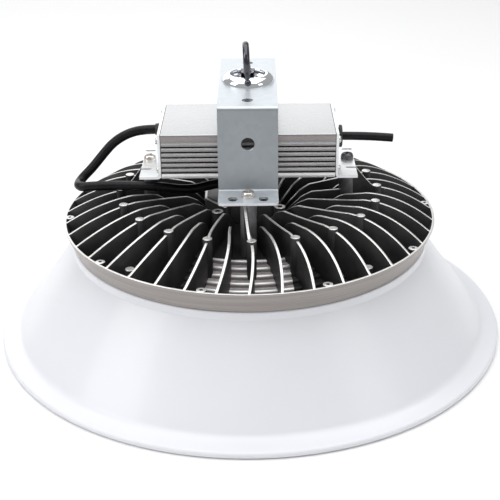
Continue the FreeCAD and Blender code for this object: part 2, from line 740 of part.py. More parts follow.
def build_bracket():
    """One folded sheet: two feet, two legs and the top."""
    body = new_body("hanging_bracket")
    outer = size.bracket_depth / 2
    inner = outer - size.bracket_sheet
    top = size.bracket_top - size.post_top
    path = [(-outer - size.bracket_foot, 0), (-inner, 0), (-inner, top - size.bracket_sheet),
            (inner, top - size.bracket_sheet), (inner, 0), (outer + size.bracket_foot, 0)]
    section = new_sketch(body, "YZ_Plane")
    closed_outline(section, sheet_outline(path, size.bracket_sheet, size.bracket_bend))
    folded = pad(body, section, "Sizes.bracket_width", SideType="Symmetric")
    doc.recompute()
    tip = outer + size.bracket_foot
    corners = [f"Edge{number}" for number, edge in enumerate(folded.Shape.Edges, start=1)
               if abs(abs(edge.CenterOfMass.y) - tip) < 0.01
               and abs(abs(edge.CenterOfMass.x) - size.bracket_width / 2) < 0.01]
    rounded = body.newObject("PartDesign::Fillet", "FootCorners")
    rounded.Base = (folded, corners)
    rounded.setExpression("Radius", "Sizes.foot_corner")

    plan = new_sketch(body, "XY_Plane")
    for side in (-1, 1):
        add_circle(plan, 0, side * size.post_circle, size.screw_shank + 0.3)
        add_circle(plan, 0, side * size.top_hole_shift, size.top_hole_radius)
        for across in (-size.foot_slot_spread, size.foot_slot_spread):
            add_circle(plan, across, side * (size.post_circle + size.foot_slot_shift),
                       size.foot_slot_radius)
    add_circle(plan, 0, 0, size.bolt_hole_radius)
    pocket_through(body, plan, "3 * (Sizes.bracket_top - Sizes.post_top)")
    legs = new_sketch(body, "XZ_Plane")
    add_circle(legs, 0, size.leg_hole_height - size.post_top, size.leg_hole_radius)
    pocket_through(body, legs, "2 * Sizes.bracket_depth")
    place(body, z="Sizes.post_top")
    return body


def build_hook_cup():
    """Open dome: a floor that the upper nut clamps and a wall that curves in to the mouth."""
    body = new_body("hook_cup")
    wall = size.cup_wall
    waist = size.cup_mouth + 0.74 * (size.cup_radius - size.cup_mouth)
    section = new_sketch(body, "XZ_Plane")
    outer = [Vector(size.cup_radius, 0, 0), Vector(waist, 0.66 * size.cup_height, 0),
             Vector(size.cup_mouth, size.cup_height, 0)]
    inner = [Vector(size.cup_mouth - 0.4 * wall, size.cup_height - wall, 0),
             Vector(waist - wall, 0.66 * size.cup_height - 0.7 * wall, 0),
             Vector(size.cup_radius - 1.6 * wall, wall, 0)]
    floor = [inner[2], Vector(size.bolt_hole_radius, wall, 0), Vector(size.bolt_hole_radius, 0, 0),
             outer[0]]
    edges = [Part.Arc(*outer), Part.LineSegment(outer[2], inner[0]), Part.Arc(*inner)]
    edges += [Part.LineSegment(a, b) for a, b in zip(floor, floor[1:])]
    section.addGeometry(edges, False)
    revolve(body, section)
    place(body, z="Sizes.bracket_top")
    return body


def build_hook_bolt():
    """Threaded shank, half-round bow and a short leg with a rounded tip."""
    body = new_body("hook_bolt")
    rod = size.hook_rod
    shank = new_sketch(body, "XY_Plane", size.hook_end)
    add_circle(shank, 0, 0, rod)
    pad(body, shank, "Sizes.hook_spring - Sizes.hook_end")
    thread = new_sketch(body, "XZ_Plane")
    closed_outline(thread, [(0, size.hook_end + 0.6), (rod + 0.5, size.hook_end + 0.6),
                            (rod + 0.5, size.thread_top - 0.5), (rod, size.thread_top),
                            (0, size.thread_top)])
    revolve(body, thread)
    bow = new_sketch(body, "XY_Plane", size.hook_spring)
    add_circle(bow, 0, 0, rod)
    bow.addGeometry(Part.LineSegment(Vector(-rod, -size.hook_bow, 0), Vector(rod, -size.hook_bow, 0)),
                    True)
    bend = add_feature(body, "Revolution", bow, Angle=180.0)
    bend.ReferenceAxis = (bow, ["Axis0"])
    drop = new_sketch(body, "XY_Plane", size.hook_spring - size.hook_drop)
    add_circle(drop, 0, -2 * size.hook_bow, rod)
    pad(body, drop, "Sizes.hook_drop")
    tip = body.newObject("PartDesign::AdditiveSphere", "Tip")
    tip.setExpression("Radius", "1.12 * Sizes.hook_rod")
    tip.Placement = Placement(Vector(0, -2 * size.hook_bow, size.hook_spring - size.hook_drop), UP)
    body.Placement = Placement(Vector(), Rotation(Vector(0, 0, 1), 1))
    body.setExpression("Placement.Rotation.Angle", "Sizes.hook_turn * 1 deg")
    return body


# ---------------------------------------------------------------- driver

def rib_side(sign):
    """The grooved long face of the case, from the bottom up, as (y, z) corners."""
    face = sign * size.case_depth / 2
    sunk = face - sign * size.case_groove
    pitch = (size.case_height - size.case_lip - size.case_brow) / size.case_rib_count
    corners = []
    for index in range(int(size.case_rib_count)):
        low = size.case_lip + index * pitch
        corners += [(face, low), (sunk, low), (sunk, low + pitch / 2), (face, low + pitch / 2)]
    return corners


def cavity_outline(low, high):
    """Inside of the case between two heights, clear of its solid corners."""
    side = size.case_depth / 2 - size.case_wall
    step = size.case_depth / 2 - size.case_boss
    corners = [(step, low), (step, size.case_boss), (side, size.case_boss)]
    if high > size.case_height - size.case_boss:
        corners += [(side, size.case_height - size.case_boss), (step, size.case_height - size.case_boss),
                    (step, high)]
    else:
        corners.append((side, high))
    return corners + [(-y, z) for y, z in corners[::-1]]


def build_driver_case():
    """Extruded case with grooved long faces and screw corners."""
    body = new_body("driver_case")
    section = new_sketch(body, "YZ_Plane")
    half, height = size.case_depth / 2, size.case_height
    closed_outline(section, [(-half, 0, 1.8), (half, 0, 1.8)] + rib_side(1)
                   + [(half, height, 1.2), (-half, height, 1.2)] + rib_side(-1)[::-1])
    closed_outline(section, cavity_outline(size.case_wall, height - size.case_wall))
    pad(body, section, "Sizes.case_length", SideType="Symmetric")
    for side, reverse in ((1, False), (-1, True)):
        holes = new_sketch(body, "YZ_Plane", side * size.case_length / 2)
        for y, z in plate_screw_spots():
            add_circle(holes, y, z, size.plate_screw_hole)
        pocket(body, holes, "Sizes.plate_screw_length", Reversed=reverse)
    place(body, z="Sizes.post_top")
    return body


def build_driver_inside():
    """Potting in the lower part of the case, the circuit board on it and a transformer on that."""
    potting = new_body("driver_potting")
    section = new_sketch(potting, "YZ_Plane")
    level = size.case_wall + size.potting_height
    closed_outline(section, cavity_outline(size.case_wall, level))
    pad(potting, section, "Sizes.case_length", SideType="Symmetric")
    place(potting, z="Sizes.post_top")

    board = new_body("driver_board")
    outline = new_sketch(board, "XY_Plane")
    half = size.case_depth / 2 - size.case_wall - 1
    reach = size.case_length / 2 - 2
    closed_outline(outline, [(-reach, -half), (reach, -half), (reach, half), (-reach, half)])
    pad(board, outline, "Sizes.driver_board_thickness")
    place(board, z="Sizes.post_top + Sizes.case_wall + Sizes.potting_height")

    coil = new_body("driver_transformer")
    outline = new_sketch(coil, "XY_Plane")
    across, along = size.coil_length / 2, size.coil_width / 2
    closed_outline(outline, [(-across, -along, 3), (across, -along, 3),
                             (across, along, 3), (-across, along, 3)])
    pad(coil, outline, "Sizes.coil_height")
    place(coil, z="Sizes.post_top + Sizes.case_wall + Sizes.potting_height"
                  " + Sizes.driver_board_thickness")
    SUB_PARTS.extend([potting, board, coil])


def gland_spot(side):
    """Y and height above the case's underside of the gland on a side."""
    return 0 if side > 0 else size.output_shift, size.gland_height - size.post_top


def build_seal(side):
    body = new_body("end_gasket_right" if side > 0 else "end_gasket_left")
    section = new_sketch(body, "YZ_Plane")
    half, height = size.case_depth / 2 - size.case_groove, size.case_height
    closed_outline(section, [(-half, 0, 1.8), (half, 0, 1.8), (half, height, 1.2), (-half, height, 1.2)])
    for y, z in plate_screw_spots():
        add_circle(section, y, z, size.plate_screw_hole)
    add_circle(section, *gland_spot(side), size.gland_hole)
    pad(body, section, "Sizes.seal_thickness")
    place(body, x="Sizes.case_length / 2", z="Sizes.post_top")
    if side < 0:
        place(body, x="-Sizes.case_length / 2 - Sizes.seal_thickness")
    return body


def build_end_plate(side):
    """Folded plate: it closes the case and its ear sits on a post."""
    body = new_body("end_plate_right" if side > 0 else "end_plate_left")
    reach = size.plate_thickness + size.ear_reach
    section = new_sketch(body, "XZ_Plane")
    path = [(0, size.case_height), (0, 0), (reach, 0)]
    closed_outline(section, sheet_outline(path, size.plate_thickness, 0.8))
    pad(body, section, "Sizes.case_depth", SideType="Symmetric")

    holes = new_sketch(body, "YZ_Plane", size.plate_thickness)
    for y, z in plate_screw_spots():
        add_circle(holes, y, z, size.plate_screw_hole)
    y, z = gland_spot(side)
    add_circle(holes, side * y, z, size.gland_hole)
    pocket(body, holes, "Sizes.plate_thickness")

    ear = new_sketch(body, "XY_Plane")
    post = size.post_circle - size.case_length / 2 - size.seal_thickness
    add_circle(ear, post, 0, size.screw_shank + 0.3)
    for y in (-size.ear_slot_shift, size.ear_slot_shift):
        half = size.ear_slot_width / 2
        start = reach - size.ear_slot_depth
        closed_outline(ear, [(start, y - half, 0.98 * half), (reach + 1, y - half),
                             (reach + 1, y + half), (start, y + half, 0.98 * half)])
    pocket_through(body, ear, "3 * Sizes.plate_thickness")
    if side > 0:
        place(body, x="Sizes.case_length / 2 + Sizes.seal_thickness", z="Sizes.post_top")
    else:
        place(body, x="-Sizes.case_length / 2 - Sizes.seal_thickness", z="Sizes.post_top",
              turn=HALF_TURN)
    return body


# ---------------------------------------------------------------- glands and cables

def new_gland(label, hole, depth):
    """Moulded gland: the shank that fills its hole, a neck and a disc, axis along z."""
    body = new_body(label)
    section = new_sketch(body, "XZ_Plane")
    shank, neck, disc = hole - 0.15, size.gland_neck, size.gland_disc
    closed_outline(section, [(0, -depth), (shank, -depth), (shank, 0), (neck, 0),
                             (neck, size.gland_neck_length), (disc, size.gland_neck_length, 0.6),
                             (disc, gland_length(), 0.9), (0, gland_length())])
    revolve(body, section)
    return body


def build_glands():
    face = "(Sizes.case_length / 2 + Sizes.seal_thickness + Sizes.plate_thickness)"
    depth = size.plate_thickness + size.seal_thickness
    supply = new_gland("supply_gland", size.gland_hole, depth)
    place(supply, x=face, z="Sizes.gland_height", turn=TO_RIGHT)
    output = new_gland("output_gland", size.gland_hole, depth)
    place(output, x=f"-{face}", y="Sizes.output_shift", z="Sizes.gland_height", turn=TO_LEFT)
    entry = new_gland("sink_gland", size.wire_hole, 4.0)
    place(entry, x="Sizes.turret_face", y="-Sizes.entry_shift",
          z="Sizes.hub_top + Sizes.turret_height / 2", turn=TO_LEFT)
    SUB_PARTS.extend([supply, output, entry])


def gland_length():
    return size.gland_neck_length + size.gland_disc_width


def driver_end():
    """Distance from the middle to the outer end of a driver gland."""
    return size.case_length / 2 + size.seal_thickness + size.plate_thickness + gland_length()


def supply_route():
    """From the right gland to the cut end, with a slight droop."""
    height = size.gland_height
    return [Vector(driver_end(), 0, height), Vector(93.5, 0, height), Vector(113.4, 0, height - 1.9)]


def output_route():
    """From the left gland out over the fins, folded back and along them to the hub's gland."""
    shift, height = size.output_shift, size.gland_height
    end = size.turret_face - gland_length()
    hub = Vector(end, -size.entry_shift, size.hub_top + size.turret_height / 2)
    return [Vector(-driver_end(), shift, height), Vector(-84.5, shift, height),
            Vector(-97, 19, 156.4), Vector(-108.5, 17.3, 149.8), Vector(-117.5, 15, 140),
            Vector(-126, 12.5, 130), Vector(-136.8, 9.4, 119.9), Vector(-136, -6.4, 120.6),
            Vector(-120, -8, 122.3), Vector(-97, -10.3, 123.3), Vector(-72, -12.3, 123.2),
            Vector(-47, -9.5, 118.1), hub - Vector(14, 0, 0), hub]


def cord_path(points):
    """Straight runs joined by tangent arcs; prints the tightest of them."""
    edges, start, radii = [], points[0], []
    for before, corner, after in zip(points, points[1:], points[2:]):
        run = 0.45 * min((corner - before).Length, (after - corner).Length)
        half_turn = (corner - before).getAngle(after - corner) / 2
        radii.append(run / math.tan(half_turn))
        first, middle, last = corner_arc(before, corner, after, radii[-1])
        edges += [Part.makeLine(start, first), Part.Arc(first, middle, last).toShape()]
        start = last
    edges.append(Part.makeLine(start, points[-1]))
    print("bend radii", [round(radius, 1) for radius in radii])
    return Part.Wire(edges)


def build_cord(label, points, radius):
    """A plain round cable along a route."""
    path = cord_path(points)
    circle = Part.makeCircle(radius, points[0], points[1] - points[0])
    tube = path.makePipeShell([Part.Wire(circle)], True, False)
    section = math.pi * radius ** 2
    print(label, "length", round(path.Length, 1), "volume / section x length",
          round(tube.Volume / (section * path.Length), 3))
    cord = doc.addObject("Part::Feature", label)
    cord.Label = label
    cord.Shape = tube
    cord.Placement = Placement()
    return cord


# ---------------------------------------------------------------- assembly

SUB_PARTS = [
    build_shade(), build_heat_sink(), build_bezel(), build_led_board(), build_led_chips(),
    build_lens(), build_lens_gasket(), build_clamp_screws(), build_board_screws(),
    build_bracket(), build_hook_cup(), build_hook_bolt(), build_driver_case(),
    build_seal(1), build_seal(-1), build_end_plate(1), build_end_plate(-1),
    build_plate_screws(1), build_plate_screws(-1),
    build_cord("supply_cable", supply_route(), size.supply_radius),
    build_cord("output_cable", output_route(), size.output_radius),
]
build_post_screws()
build_driver_inside()
build_glands()
new_washer("hook_washer_upper", "Sizes.bracket_top + Sizes.cup_wall")
new_nut("hook_nut_upper", "Sizes.bracket_top + Sizes.cup_wall + Sizes.washer_height")
new_washer("hook_washer_lower", "Sizes.bracket_top - Sizes.bracket_sheet - Sizes.washer_height")
new_nut("hook_nut_lower", "Sizes.bracket_top - Sizes.bracket_sheet - Sizes.washer_height"
                          " - Sizes.nut_height")
doc.recompute()

for item in doc.Objects:
    if any(flag in item.State for flag in ("Invalid", "Error")):
        raise RuntimeError(f"{item.Label} failed: {item.State}")
os.makedirs("parts", exist_ok=True)
for part in SUB_PARTS:
    shape = part.Shape
    if shape.isNull() or not shape.isValid() or not shape.Solids:
        raise RuntimeError(f"{part.Label} has no valid solid")
    shape.exportStep(f"parts/{part.Label}.step")
    print(f"{part.Label:22s} solids {len(shape.Solids):3d}  volume {shape.Volume / 1000:9.3f} cm3")
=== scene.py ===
"""High bay light: a finned black heat sink over a white spun shade, a boxed driver under a folded
bracket and a hook. Lengths are millimetres in the functions and metres in the meshes."""

import math

import bmesh
import bpy
import numpy as np
from bpy.props import FloatProperty, FloatVectorProperty, IntProperty, PointerProperty
from mathutils import Matrix, Vector


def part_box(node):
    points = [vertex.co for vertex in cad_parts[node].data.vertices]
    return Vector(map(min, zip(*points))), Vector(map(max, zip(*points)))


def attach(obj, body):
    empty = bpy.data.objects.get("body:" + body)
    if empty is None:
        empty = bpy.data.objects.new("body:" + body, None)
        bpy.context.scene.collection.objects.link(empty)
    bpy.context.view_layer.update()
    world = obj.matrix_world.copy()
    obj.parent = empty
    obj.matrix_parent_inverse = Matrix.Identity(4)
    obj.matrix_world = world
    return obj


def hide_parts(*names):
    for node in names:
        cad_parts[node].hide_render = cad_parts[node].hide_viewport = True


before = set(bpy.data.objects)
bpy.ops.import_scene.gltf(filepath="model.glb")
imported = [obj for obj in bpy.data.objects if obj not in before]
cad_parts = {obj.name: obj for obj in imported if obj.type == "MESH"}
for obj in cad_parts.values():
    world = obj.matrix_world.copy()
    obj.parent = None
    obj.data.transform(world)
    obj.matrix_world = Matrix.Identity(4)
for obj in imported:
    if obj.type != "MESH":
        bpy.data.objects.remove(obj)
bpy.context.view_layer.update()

bl_info = {
    "name": "High Bay Light",
    "version": (1, 0, 0),
    "blender": (4, 5, 0),
    "location": "View3D > Sidebar > High Bay",
    "description": "Dresses a high bay light: cast heat sink, spun shade, driver, bracket and hook",
    "category": "Object",
}

MM = 0.001
FULL_TURN = 2 * math.pi


# ---------------------------------------------------------------- sizes and colours

def length(name, value, description):
    """A length property in metres, from millimetres."""
    return FloatProperty(name=name, description=description, default=value * MM, min=0.0,
                         unit="LENGTH", precision=4)


def paint(name, colour, description):
    """A colour property."""
    return FloatVectorProperty(name=name, description=description, default=colour, size=3,
                               subtype="COLOR", min=0.0, max=1.0)


class HighBaySizes(bpy.types.PropertyGroup):
    """Sizes that a user would change"""

    rim_radius: length("Rim radius", 205, "Outside of the shade's rolled rim")
    ring_radius: length("Ring radius", 148.5, "Outside of the heat sink's top ring")
    fin_count: IntProperty(name="Long fins", description="Long fins, and as many short ones",
                           default=20, min=4, max=60)
    fin_wall: length("Fin wall", 2.1, "Thickness of a fin")
    fin_crest: length("Fin crest", 117, "Height of the fins where they are highest")
    pin_radius: length("Pin radius", 3.6, "Radius of the cast pins")
    post_radius: length("Post radius", 6.0, "Radius of the posts")
    supply_diameter: length("Supply cable", 6.6, "Outside diameter of the supply cable")
    output_diameter: length("Output cable", 7.6, "Outside diameter of the lead to the heat sink")
    hook_rod: length("Hook rod", 2.5, "Radius of the hook's rod")


class HighBayColours(bpy.types.PropertyGroup):
    """Colours of the finishes"""

    shade: paint("Shade", (0.80, 0.81, 0.85), "White powder coat of the shade")
    sink: paint("Heat sink", (0.026, 0.025, 0.025), "Black coat of the casting")
    machined: paint("Machined edges", (0.84, 0.835, 0.82), "Bare metal on the fins' tops")
    band: paint("Ring band", (0.36, 0.33, 0.31), "Turned side of the ring")
    case: paint("Driver case", (0.54, 0.55, 0.56), "Brushed aluminium of the driver")
    # Painted shade: the ribs' colour is a darker stand-in for the shade on the case's upright rib
    # faces.
    ribs: paint("Driver ribs", (0.30, 0.275, 0.275), "Mill finish of the ribs on its long faces")
    # The darker copies of this colour on the steps are painted shade and painted shadow.
    raw: paint("Raw casting", (0.72, 0.655, 0.655), "Uncoated metal on the sink's steps")
    zinc: paint("Bracket", (0.33, 0.355, 0.375), "Galvanised sheet of the bracket")
    cable: paint("Cables", (0.005, 0.005, 0.006), "Jacket of both cables")


# ---------------------------------------------------------------- fixed sizes, in millimetres

# Heat sink: ring and floor.
SINK_BASE = 79.5  # underside of the casting
RING_FOOT = 141.4  # outside of the casting at its underside
RING_TOP = 97.0
RING_WALL = 2.0
FLOOR_LOW = 81.5  # floor beside the ring
FLOOR_HIGH = 95.0  # floor inside the steps
STEP_COUNT = 5
STEP_OUTER = 118.6  # radius of the lowest riser
TREAD = 7.0
RISER = 2.7
LIP_RADIUS = 2.0  # rounding of each tread's edge
WELL_RADIUS = 28.0  # well in the middle, which the fins run into
WELL_FLOOR = 95.5
# The front patch on the steps is partly bare metal and partly a painted pool of light.
RAW_HALF_WIDTH = 19.0  # half of the uncoated patch on the steps
RAW_TAPER = 0.12  # how much that half grows for each millimetre outwards

# Heat sink: fins, and what stands between them.
CREST_RADIUS = 93.5  # where a fin is highest
CREST_BOW = 16.0  # four times the rise of a fin's outer slope over a straight line
THROAT_RADIUS = 50.0  # where a fin starts to rise out of the well
THROAT_TOP = 114.3
FIN_BOW = 3.1  # sideways bow of a fin's outer half
FIN_SWEEP = 3.7  # sideways sweep of its inner half
FIN_TURN = 90.0  # radius where one turns into the other
FIN_EDGE = 0.35  # rounding of a fin's top edges
HUB_RADIUS = 42.0  # where the sweep ends
HUB_TOP = 113.5  # top of the cover over the well
SHORT_FIN_START = 61.0
SHORT_FIN_NOSE = 18.0
PIN_CIRCLE = 102.7
LUG_CIRCLE = 143.5
LUG_RADIUS = 3.6
LUG_FOOT = 84.0
LUG_COUNT = 10
LUG_ANGLE = -13.3  # degrees from the front to the first lug
BOSS_CIRCLE = 133.5
BOSS_RADIUS = 3.5
BOSS_TOP = 95.0
BOSS_ANGLE = 40.5  # degrees from the front and from the back
POST_CIRCLE = 78.0
POST_TOP = 139.0

# Shade.
SHADE_SEAT = 122.0  # inner edge of the flange under the casting
SHADE_NECK = 142.5
SHADE_NECK_FOOT = 73.5
SHADE_WALL = 1.5
FLANGE_WIDTH = 14.6  # from the cone's crease out to the rim
CREASE_HEIGHT = 7.8
CREASE_SOFTNESS = 9.0
BEAD = 2.5  # section radius of the rolled rim

# Hanging bracket.
BRACKET_HALF = 22.0
BRACKET_SHEET = 2.0
BRACKET_LEG = 63.4  # inner face of a leg
BRACKET_REACH = 90.6  # end of a foot
BRACKET_TOP = 205.0
BRACKET_BEND = 1.3  # inside radius of its bends
FOOT_SLOT = (11.2, 82.3)  # place of a foot's slots
FOOT_SLOT_RADIUS = 3.5
FOOT_SLOT_STRETCH = 1.22
FOOT_HOLE_RADIUS = 2.8  # for the screw into the post
FOOT_CORNER = 3.0
LEG_HOLE_HEIGHT = 176.8
LEG_HOLE_RADIUS = 5.0
TOP_HOLE_PLACE = 49.0
TOP_HOLE_RADIUS = 4.1
HOOK_HOLE_RADIUS = 4.0
DRILL_FEET = (130, 150)  # heights that a cutter through the feet spans
DRILL_TOP = (195, 215)  # and through the top
DRILL_LEGS = 80  # how far a cutter through the legs reaches out on both sides

# Screws into the posts.
HEAD_RADIUS = 5.0
HEAD_RISE = 4.7
HEAD_HEIGHT = 3.6  # of the solid's head, from its seat to its top
SHANK_RADIUS = 2.5
SHANK_STUB = 4.0  # what is modelled of a shank below its head

# Hook and its dome.
HOOK_FOOT = 190.0
THREAD_TOP = 217.0
THREAD_PITCH = 1.0
HOOK_SPRING = 224.0  # where the bow springs from the shank
HOOK_BOW = 12.0
HOOK_DROP = 13.7  # from the bow's far end down to the ball
HOOK_TURN = 1.0  # degrees about its shank
HOOK_LEAN = 0.047  # sideways for each millimetre above the dome's floor
DOME_FLOOR = 206.0
DOME_OUTSIDE = ((18.558, 208.96), (13.6, 211.0))  # radius and height half-way up, and at its mouth
DOME_INSIDE = ((13.2, 210.0), (17.558, 208.26))
DOME_FOOT = 20.3
DOME_BORE = 3.5

# Driver.
CASE_HALF_LENGTH = 66.0
CASE_HALF_DEPTH = 37.5
CASE_FOOT = 139.0
CASE_TOP = 174.5
CASE_WALL = 3.2
CASE_LIP = 4.2  # plain band under the grooves
GROOVE_COUNT = 7
GROOVE_PITCH = 4.1
GROOVE_HEIGHT = 1.45
GROOVE_DEPTH = 2.4
TOP_GROOVE_DEPTH = 1.1
PLATE_FACE = 68.5  # outside of the end plates
PLATE_SCREWS_Y = (-33.3, 33.3)
PLATE_SCREWS_Z = (144.9, 168.6)
PLATE_HEAD = (2.9, 1.9, 1.5)  # radius, height and shank radius of those screws
CABLE_EXIT = (19.5, 159.5)  # y and z of the lead to the heat sink on the left end plate

# Cable routes, in metres.
SUPPLY_ROUTE = [(0.0735, 0, 0.1595), (0.0935, 0, 0.1595), (0.1134, 0, 0.1576)]
OUTPUT_ROUTE = [(-0.0735, 0.0195, 0.1595), (-0.0845, 0.0195, 0.1595), (-0.097, 0.019, 0.1564),
                (-0.1085, 0.0173, 0.1498), (-0.1175, 0.015, 0.140), (-0.126, 0.0125, 0.130),
                (-0.1368, 0.0094, 0.1199), (-0.136, -0.0064, 0.1206), (-0.120, -0.008, 0.1223),
                (-0.097, -0.0103, 0.1233), (-0.072, -0.0123, 0.1232), (-0.047, -0.0095, 0.1181),
                (-0.025, -0.004, 0.1225), (-0.011, -0.004, 0.1225)]

# Camera and studio, in metres, degrees and watts.
CAMERA_PLACE = (0.0053, -0.8260, 0.4529)
CAMERA_LENS = 79.95
CAMERA_DIP = 25.383
CAMERA_BEARING = 0.006  # radians
CAMERA_ROLL = -0.011  # radians
FLOOR_REACH = 6.0
FLOOR_DROP = 0.0002  # keeps the floor just under the rim
SKY_STRENGTH = 0.42
STUDIO_LIGHTS = (
    ("key", (-1.6, -0.6, 1.2), (1.0, 1.0), 9.0),
    ("fill", (1.6, -0.9, 1.0), (0.7, 0.7), 2.0),
    ("top", (0.0, 0.1, 2.1), (3.0, 3.0), 48.0),
    ("backdrop", (-0.95, 2.6, 1.15), (3.1, 2.2), 22.5),
)

# Rotations that lay a shape's z axis along another direction.
ALONG_Y = ((1, 0, 0), (0, 0, 1), (0, -1, 0))
ALONG_X = ((0, 0, 1), (1, 0, 0), (0, 1, 0))
TO_RIGHT = ((0, 0, 1), (0, 1, 0), (-1, 0, 0))
TO_LEFT = ((0, 0, -1), (0, 1, 0), (1, 0, 0))


def sizes():
    """The scene's sizes, in metres."""
    return bpy.context.scene.high_bay_sizes


def colours():
    """The scene's colours."""
    return bpy.context.scene.high_bay_colours


def mm(value):
    """A size property in millimetres."""
    return value / MM


# ---------------------------------------------------------------- surfaces

def rounded(corners, steps=6):
    """Closed outline with arcs at its corners. A corner is (x, y, radius); its arc is tangent to
    both sides, so its middle lies radius / sin(half the corner's angle) along their bisector."""
    corners = np.array([tuple(corner) + (0,) * (3 - len(corner)) for corner in corners], float)
    points, radii = corners[:, :2], corners[:, 2]
    back = np.roll(points, 1, 0) - points
    ahead = np.roll(points, -1, 0) - points
    back /= np.linalg.norm(back, axis=1, keepdims=True)
    ahead /= np.linalg.norm(ahead, axis=1, keepdims=True)
    half = np.arccos(np.clip((back * ahead).sum(1), -1, 1)) / 2
    bisector = back + ahead
    bisector /= np.maximum(np.linalg.norm(bisector, axis=1, keepdims=True), 1e-9)
    middle = points + bisector * (radii / np.sin(half))[:, None]
    start = points + back * (radii / np.tan(half))[:, None] - middle
    end = points + ahead * (radii / np.tan(half))[:, None] - middle
    first = np.arctan2(start[:, 1], start[:, 0])
    sweep = (np.arctan2(end[:, 1], end[:, 0]) - first + math.pi) % FULL_TURN - math.pi
    angle = first[:, None] + sweep[:, None] * np.linspace(0, 1, steps)
    arc = middle[:, None] + radii[:, None, None] * np.stack([np.cos(angle), np.sin(angle)], -1)
    arc = np.where(radii[:, None, None] > 0, arc, points[:, None])
    flat = arc.reshape(-1, 2)
    kept = np.linalg.norm(flat - np.roll(flat, 1, 0), axis=1) > 1e-6
    return flat[kept]


def arc_through(first, middle, last, steps=12):
    """Points on the circle through three points, from the first to the last."""
    a, b, c = (np.array(point, float) for point in (first, middle, last))
    rows = 2 * np.array([b - a, c - a])
    centre = np.linalg.solve(rows, np.array([b @ b - a @ a, c @ c - a @ a]))
    start, end = a - centre, c - centre
    first_angle = math.atan2(start[1], start[0])
    sweep = (math.atan2(end[1], end[0]) - first_angle + math.pi) % FULL_TURN - math.pi
    angle = first_angle + sweep * np.linspace(0, 1, steps)
    return centre + np.linalg.norm(start) * np.stack([np.cos(angle), np.sin(angle)], -1)


def grid_faces(rows, columns, closed_rows=False):
    """Quads of a grid whose vertices run row by row, each row a closed loop."""
    row = np.arange(rows if closed_rows else rows - 1)[:, None]
    column = np.arange(columns)[None, :]
    next_row, next_column = (row + 1) % rows, (column + 1) % columns
    quads = np.stack([row * columns + column, row * columns + next_column,
                      next_row * columns + next_column, next_row * columns + column], -1)
    return quads.reshape(-1, 4).tolist()


def ends(rows, columns):
    """Caps for the first and last row of a grid."""
    return [list(range(columns))[::-1], list(range(columns * (rows - 1), columns * rows))]


def revolved(profile, steps=96, closed=True):
    """Surface of revolution about z: (r cos a, r sin a, z) for each profile point (r, z)."""
    angle = np.arange(steps) / steps * FULL_TURN
    r, z = profile[:, 0][:, None], profile[:, 1][:, None]
    grid = np.stack([r * np.cos(angle), r * np.sin(angle), z + 0 * angle], -1)
    return grid.reshape(-1, 3), grid_faces(len(profile), steps, closed_rows=closed)


def prism(outline, levels, lean=0.0):
    """Stack of copies of an outline: each level is (height, scale), and both ends are capped.
    The outline moves outwards from z's axis by lean for each millimetre up."""
    outline = np.asarray(outline, float)
    heights, scales = np.array(levels, float).T
    middle = outline.mean(0)
    outward = middle / max(np.linalg.norm(middle), 1e-9)
    shift = outward * (lean * (heights - heights[-1]))[:, None]
    plan = middle + (outline - middle) * scales[:, None, None] + shift[:, None]
    depth = np.broadcast_to(heights[:, None, None], plan.shape[:2] + (1,))
    faces = grid_faces(len(levels), len(outline)) + ends(len(levels), len(outline))
    return np.concatenate([plan, depth], -1).reshape(-1, 3), faces


def circle(x, y, radius, steps=28):
    """Outline of a circle: (x + r cos a, y + r sin a)."""
    angle = np.arange(steps) / steps * FULL_TURN
    return np.stack([x + radius * np.cos(angle), y + radius * np.sin(angle)], -1)


def spot(radius, degrees):
    """Plan position at an angle from the front, -y."""
    angle = math.radians(degrees)
    return radius * math.sin(angle), -radius * math.cos(angle)


def around(shape, count, start=0.0):
    """Copies of a shape turned about z in equal steps."""
    vertices, faces = shape
    angle = np.arange(count) / count * FULL_TURN + math.radians(start)
    cos, sin = np.cos(angle), np.sin(angle)
    zero, one = np.zeros(count), np.ones(count)
    turns = np.stack([cos, -sin, zero, sin, cos, zero, zero, zero, one], -1).reshape(-1, 3, 3)
    copies = np.einsum("nij,vj->nvi", turns, vertices)
    return joined([(copy, faces) for copy in copies])


def moved(shape, rotation=None, offset=(0, 0, 0)):
    """A shape turned by a 3 x 3 rotation and then shifted."""
    vertices, faces = shape
    if rotation is not None:
        vertices = vertices @ np.array(rotation, float).T
    return vertices + np.array(offset, float), faces


def joined(shapes):
    """Several shapes as one list of vertices and one of faces."""
    starts = np.cumsum([0] + [len(vertices) for vertices, _ in shapes])
    faces = [[index + int(start) for index in face]
             for start, (_, each) in zip(starts, shapes) for face in each]
    return np.concatenate([vertices for vertices, _ in shapes]), faces


def object_of(name, shape, merged=True):
    """Links a new object with a shape's mesh: doubles merged, faces outwards."""
    vertices, faces = shape
    mesh = bpy.data.meshes.new(name)
    mesh.from_pydata((vertices * MM).tolist(), [], faces)
    work = bmesh.new()
    work.from_mesh(mesh)
    if merged:
        bmesh.ops.remove_doubles(work, verts=work.verts, dist=1e-7)
        bmesh.ops.dissolve_degenerate(work, edges=work.edges, dist=1e-8)
    bmesh.ops.recalc_face_normals(work, faces=work.faces)
    work.to_mesh(mesh)
    work.free()
    made = bpy.data.objects.new(name, mesh)
    bpy.context.scene.collection.objects.link(made)
    return made


def piece(name, shape, material, replaces=(), smooth=32):
    """Makes a finished piece, with its edges sharp over the smooth angle, in degrees."""
    made = object_of(name, shape)
    made.data.shade_smooth()
    made.data.set_sharp_from_angle(angle=math.radians(smooth))
    made.data.materials.append(material)
    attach(made, "root")
    if replaces:
        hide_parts(*replaces)
    return made


def dress(material, *nodes):
    """Gives a material to CAD nodes that keep their own mesh."""
    for name in nodes:
        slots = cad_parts[name].data.materials
        slots.clear()
        slots.append(material)


# ---------------------------------------------------------------- shader parts

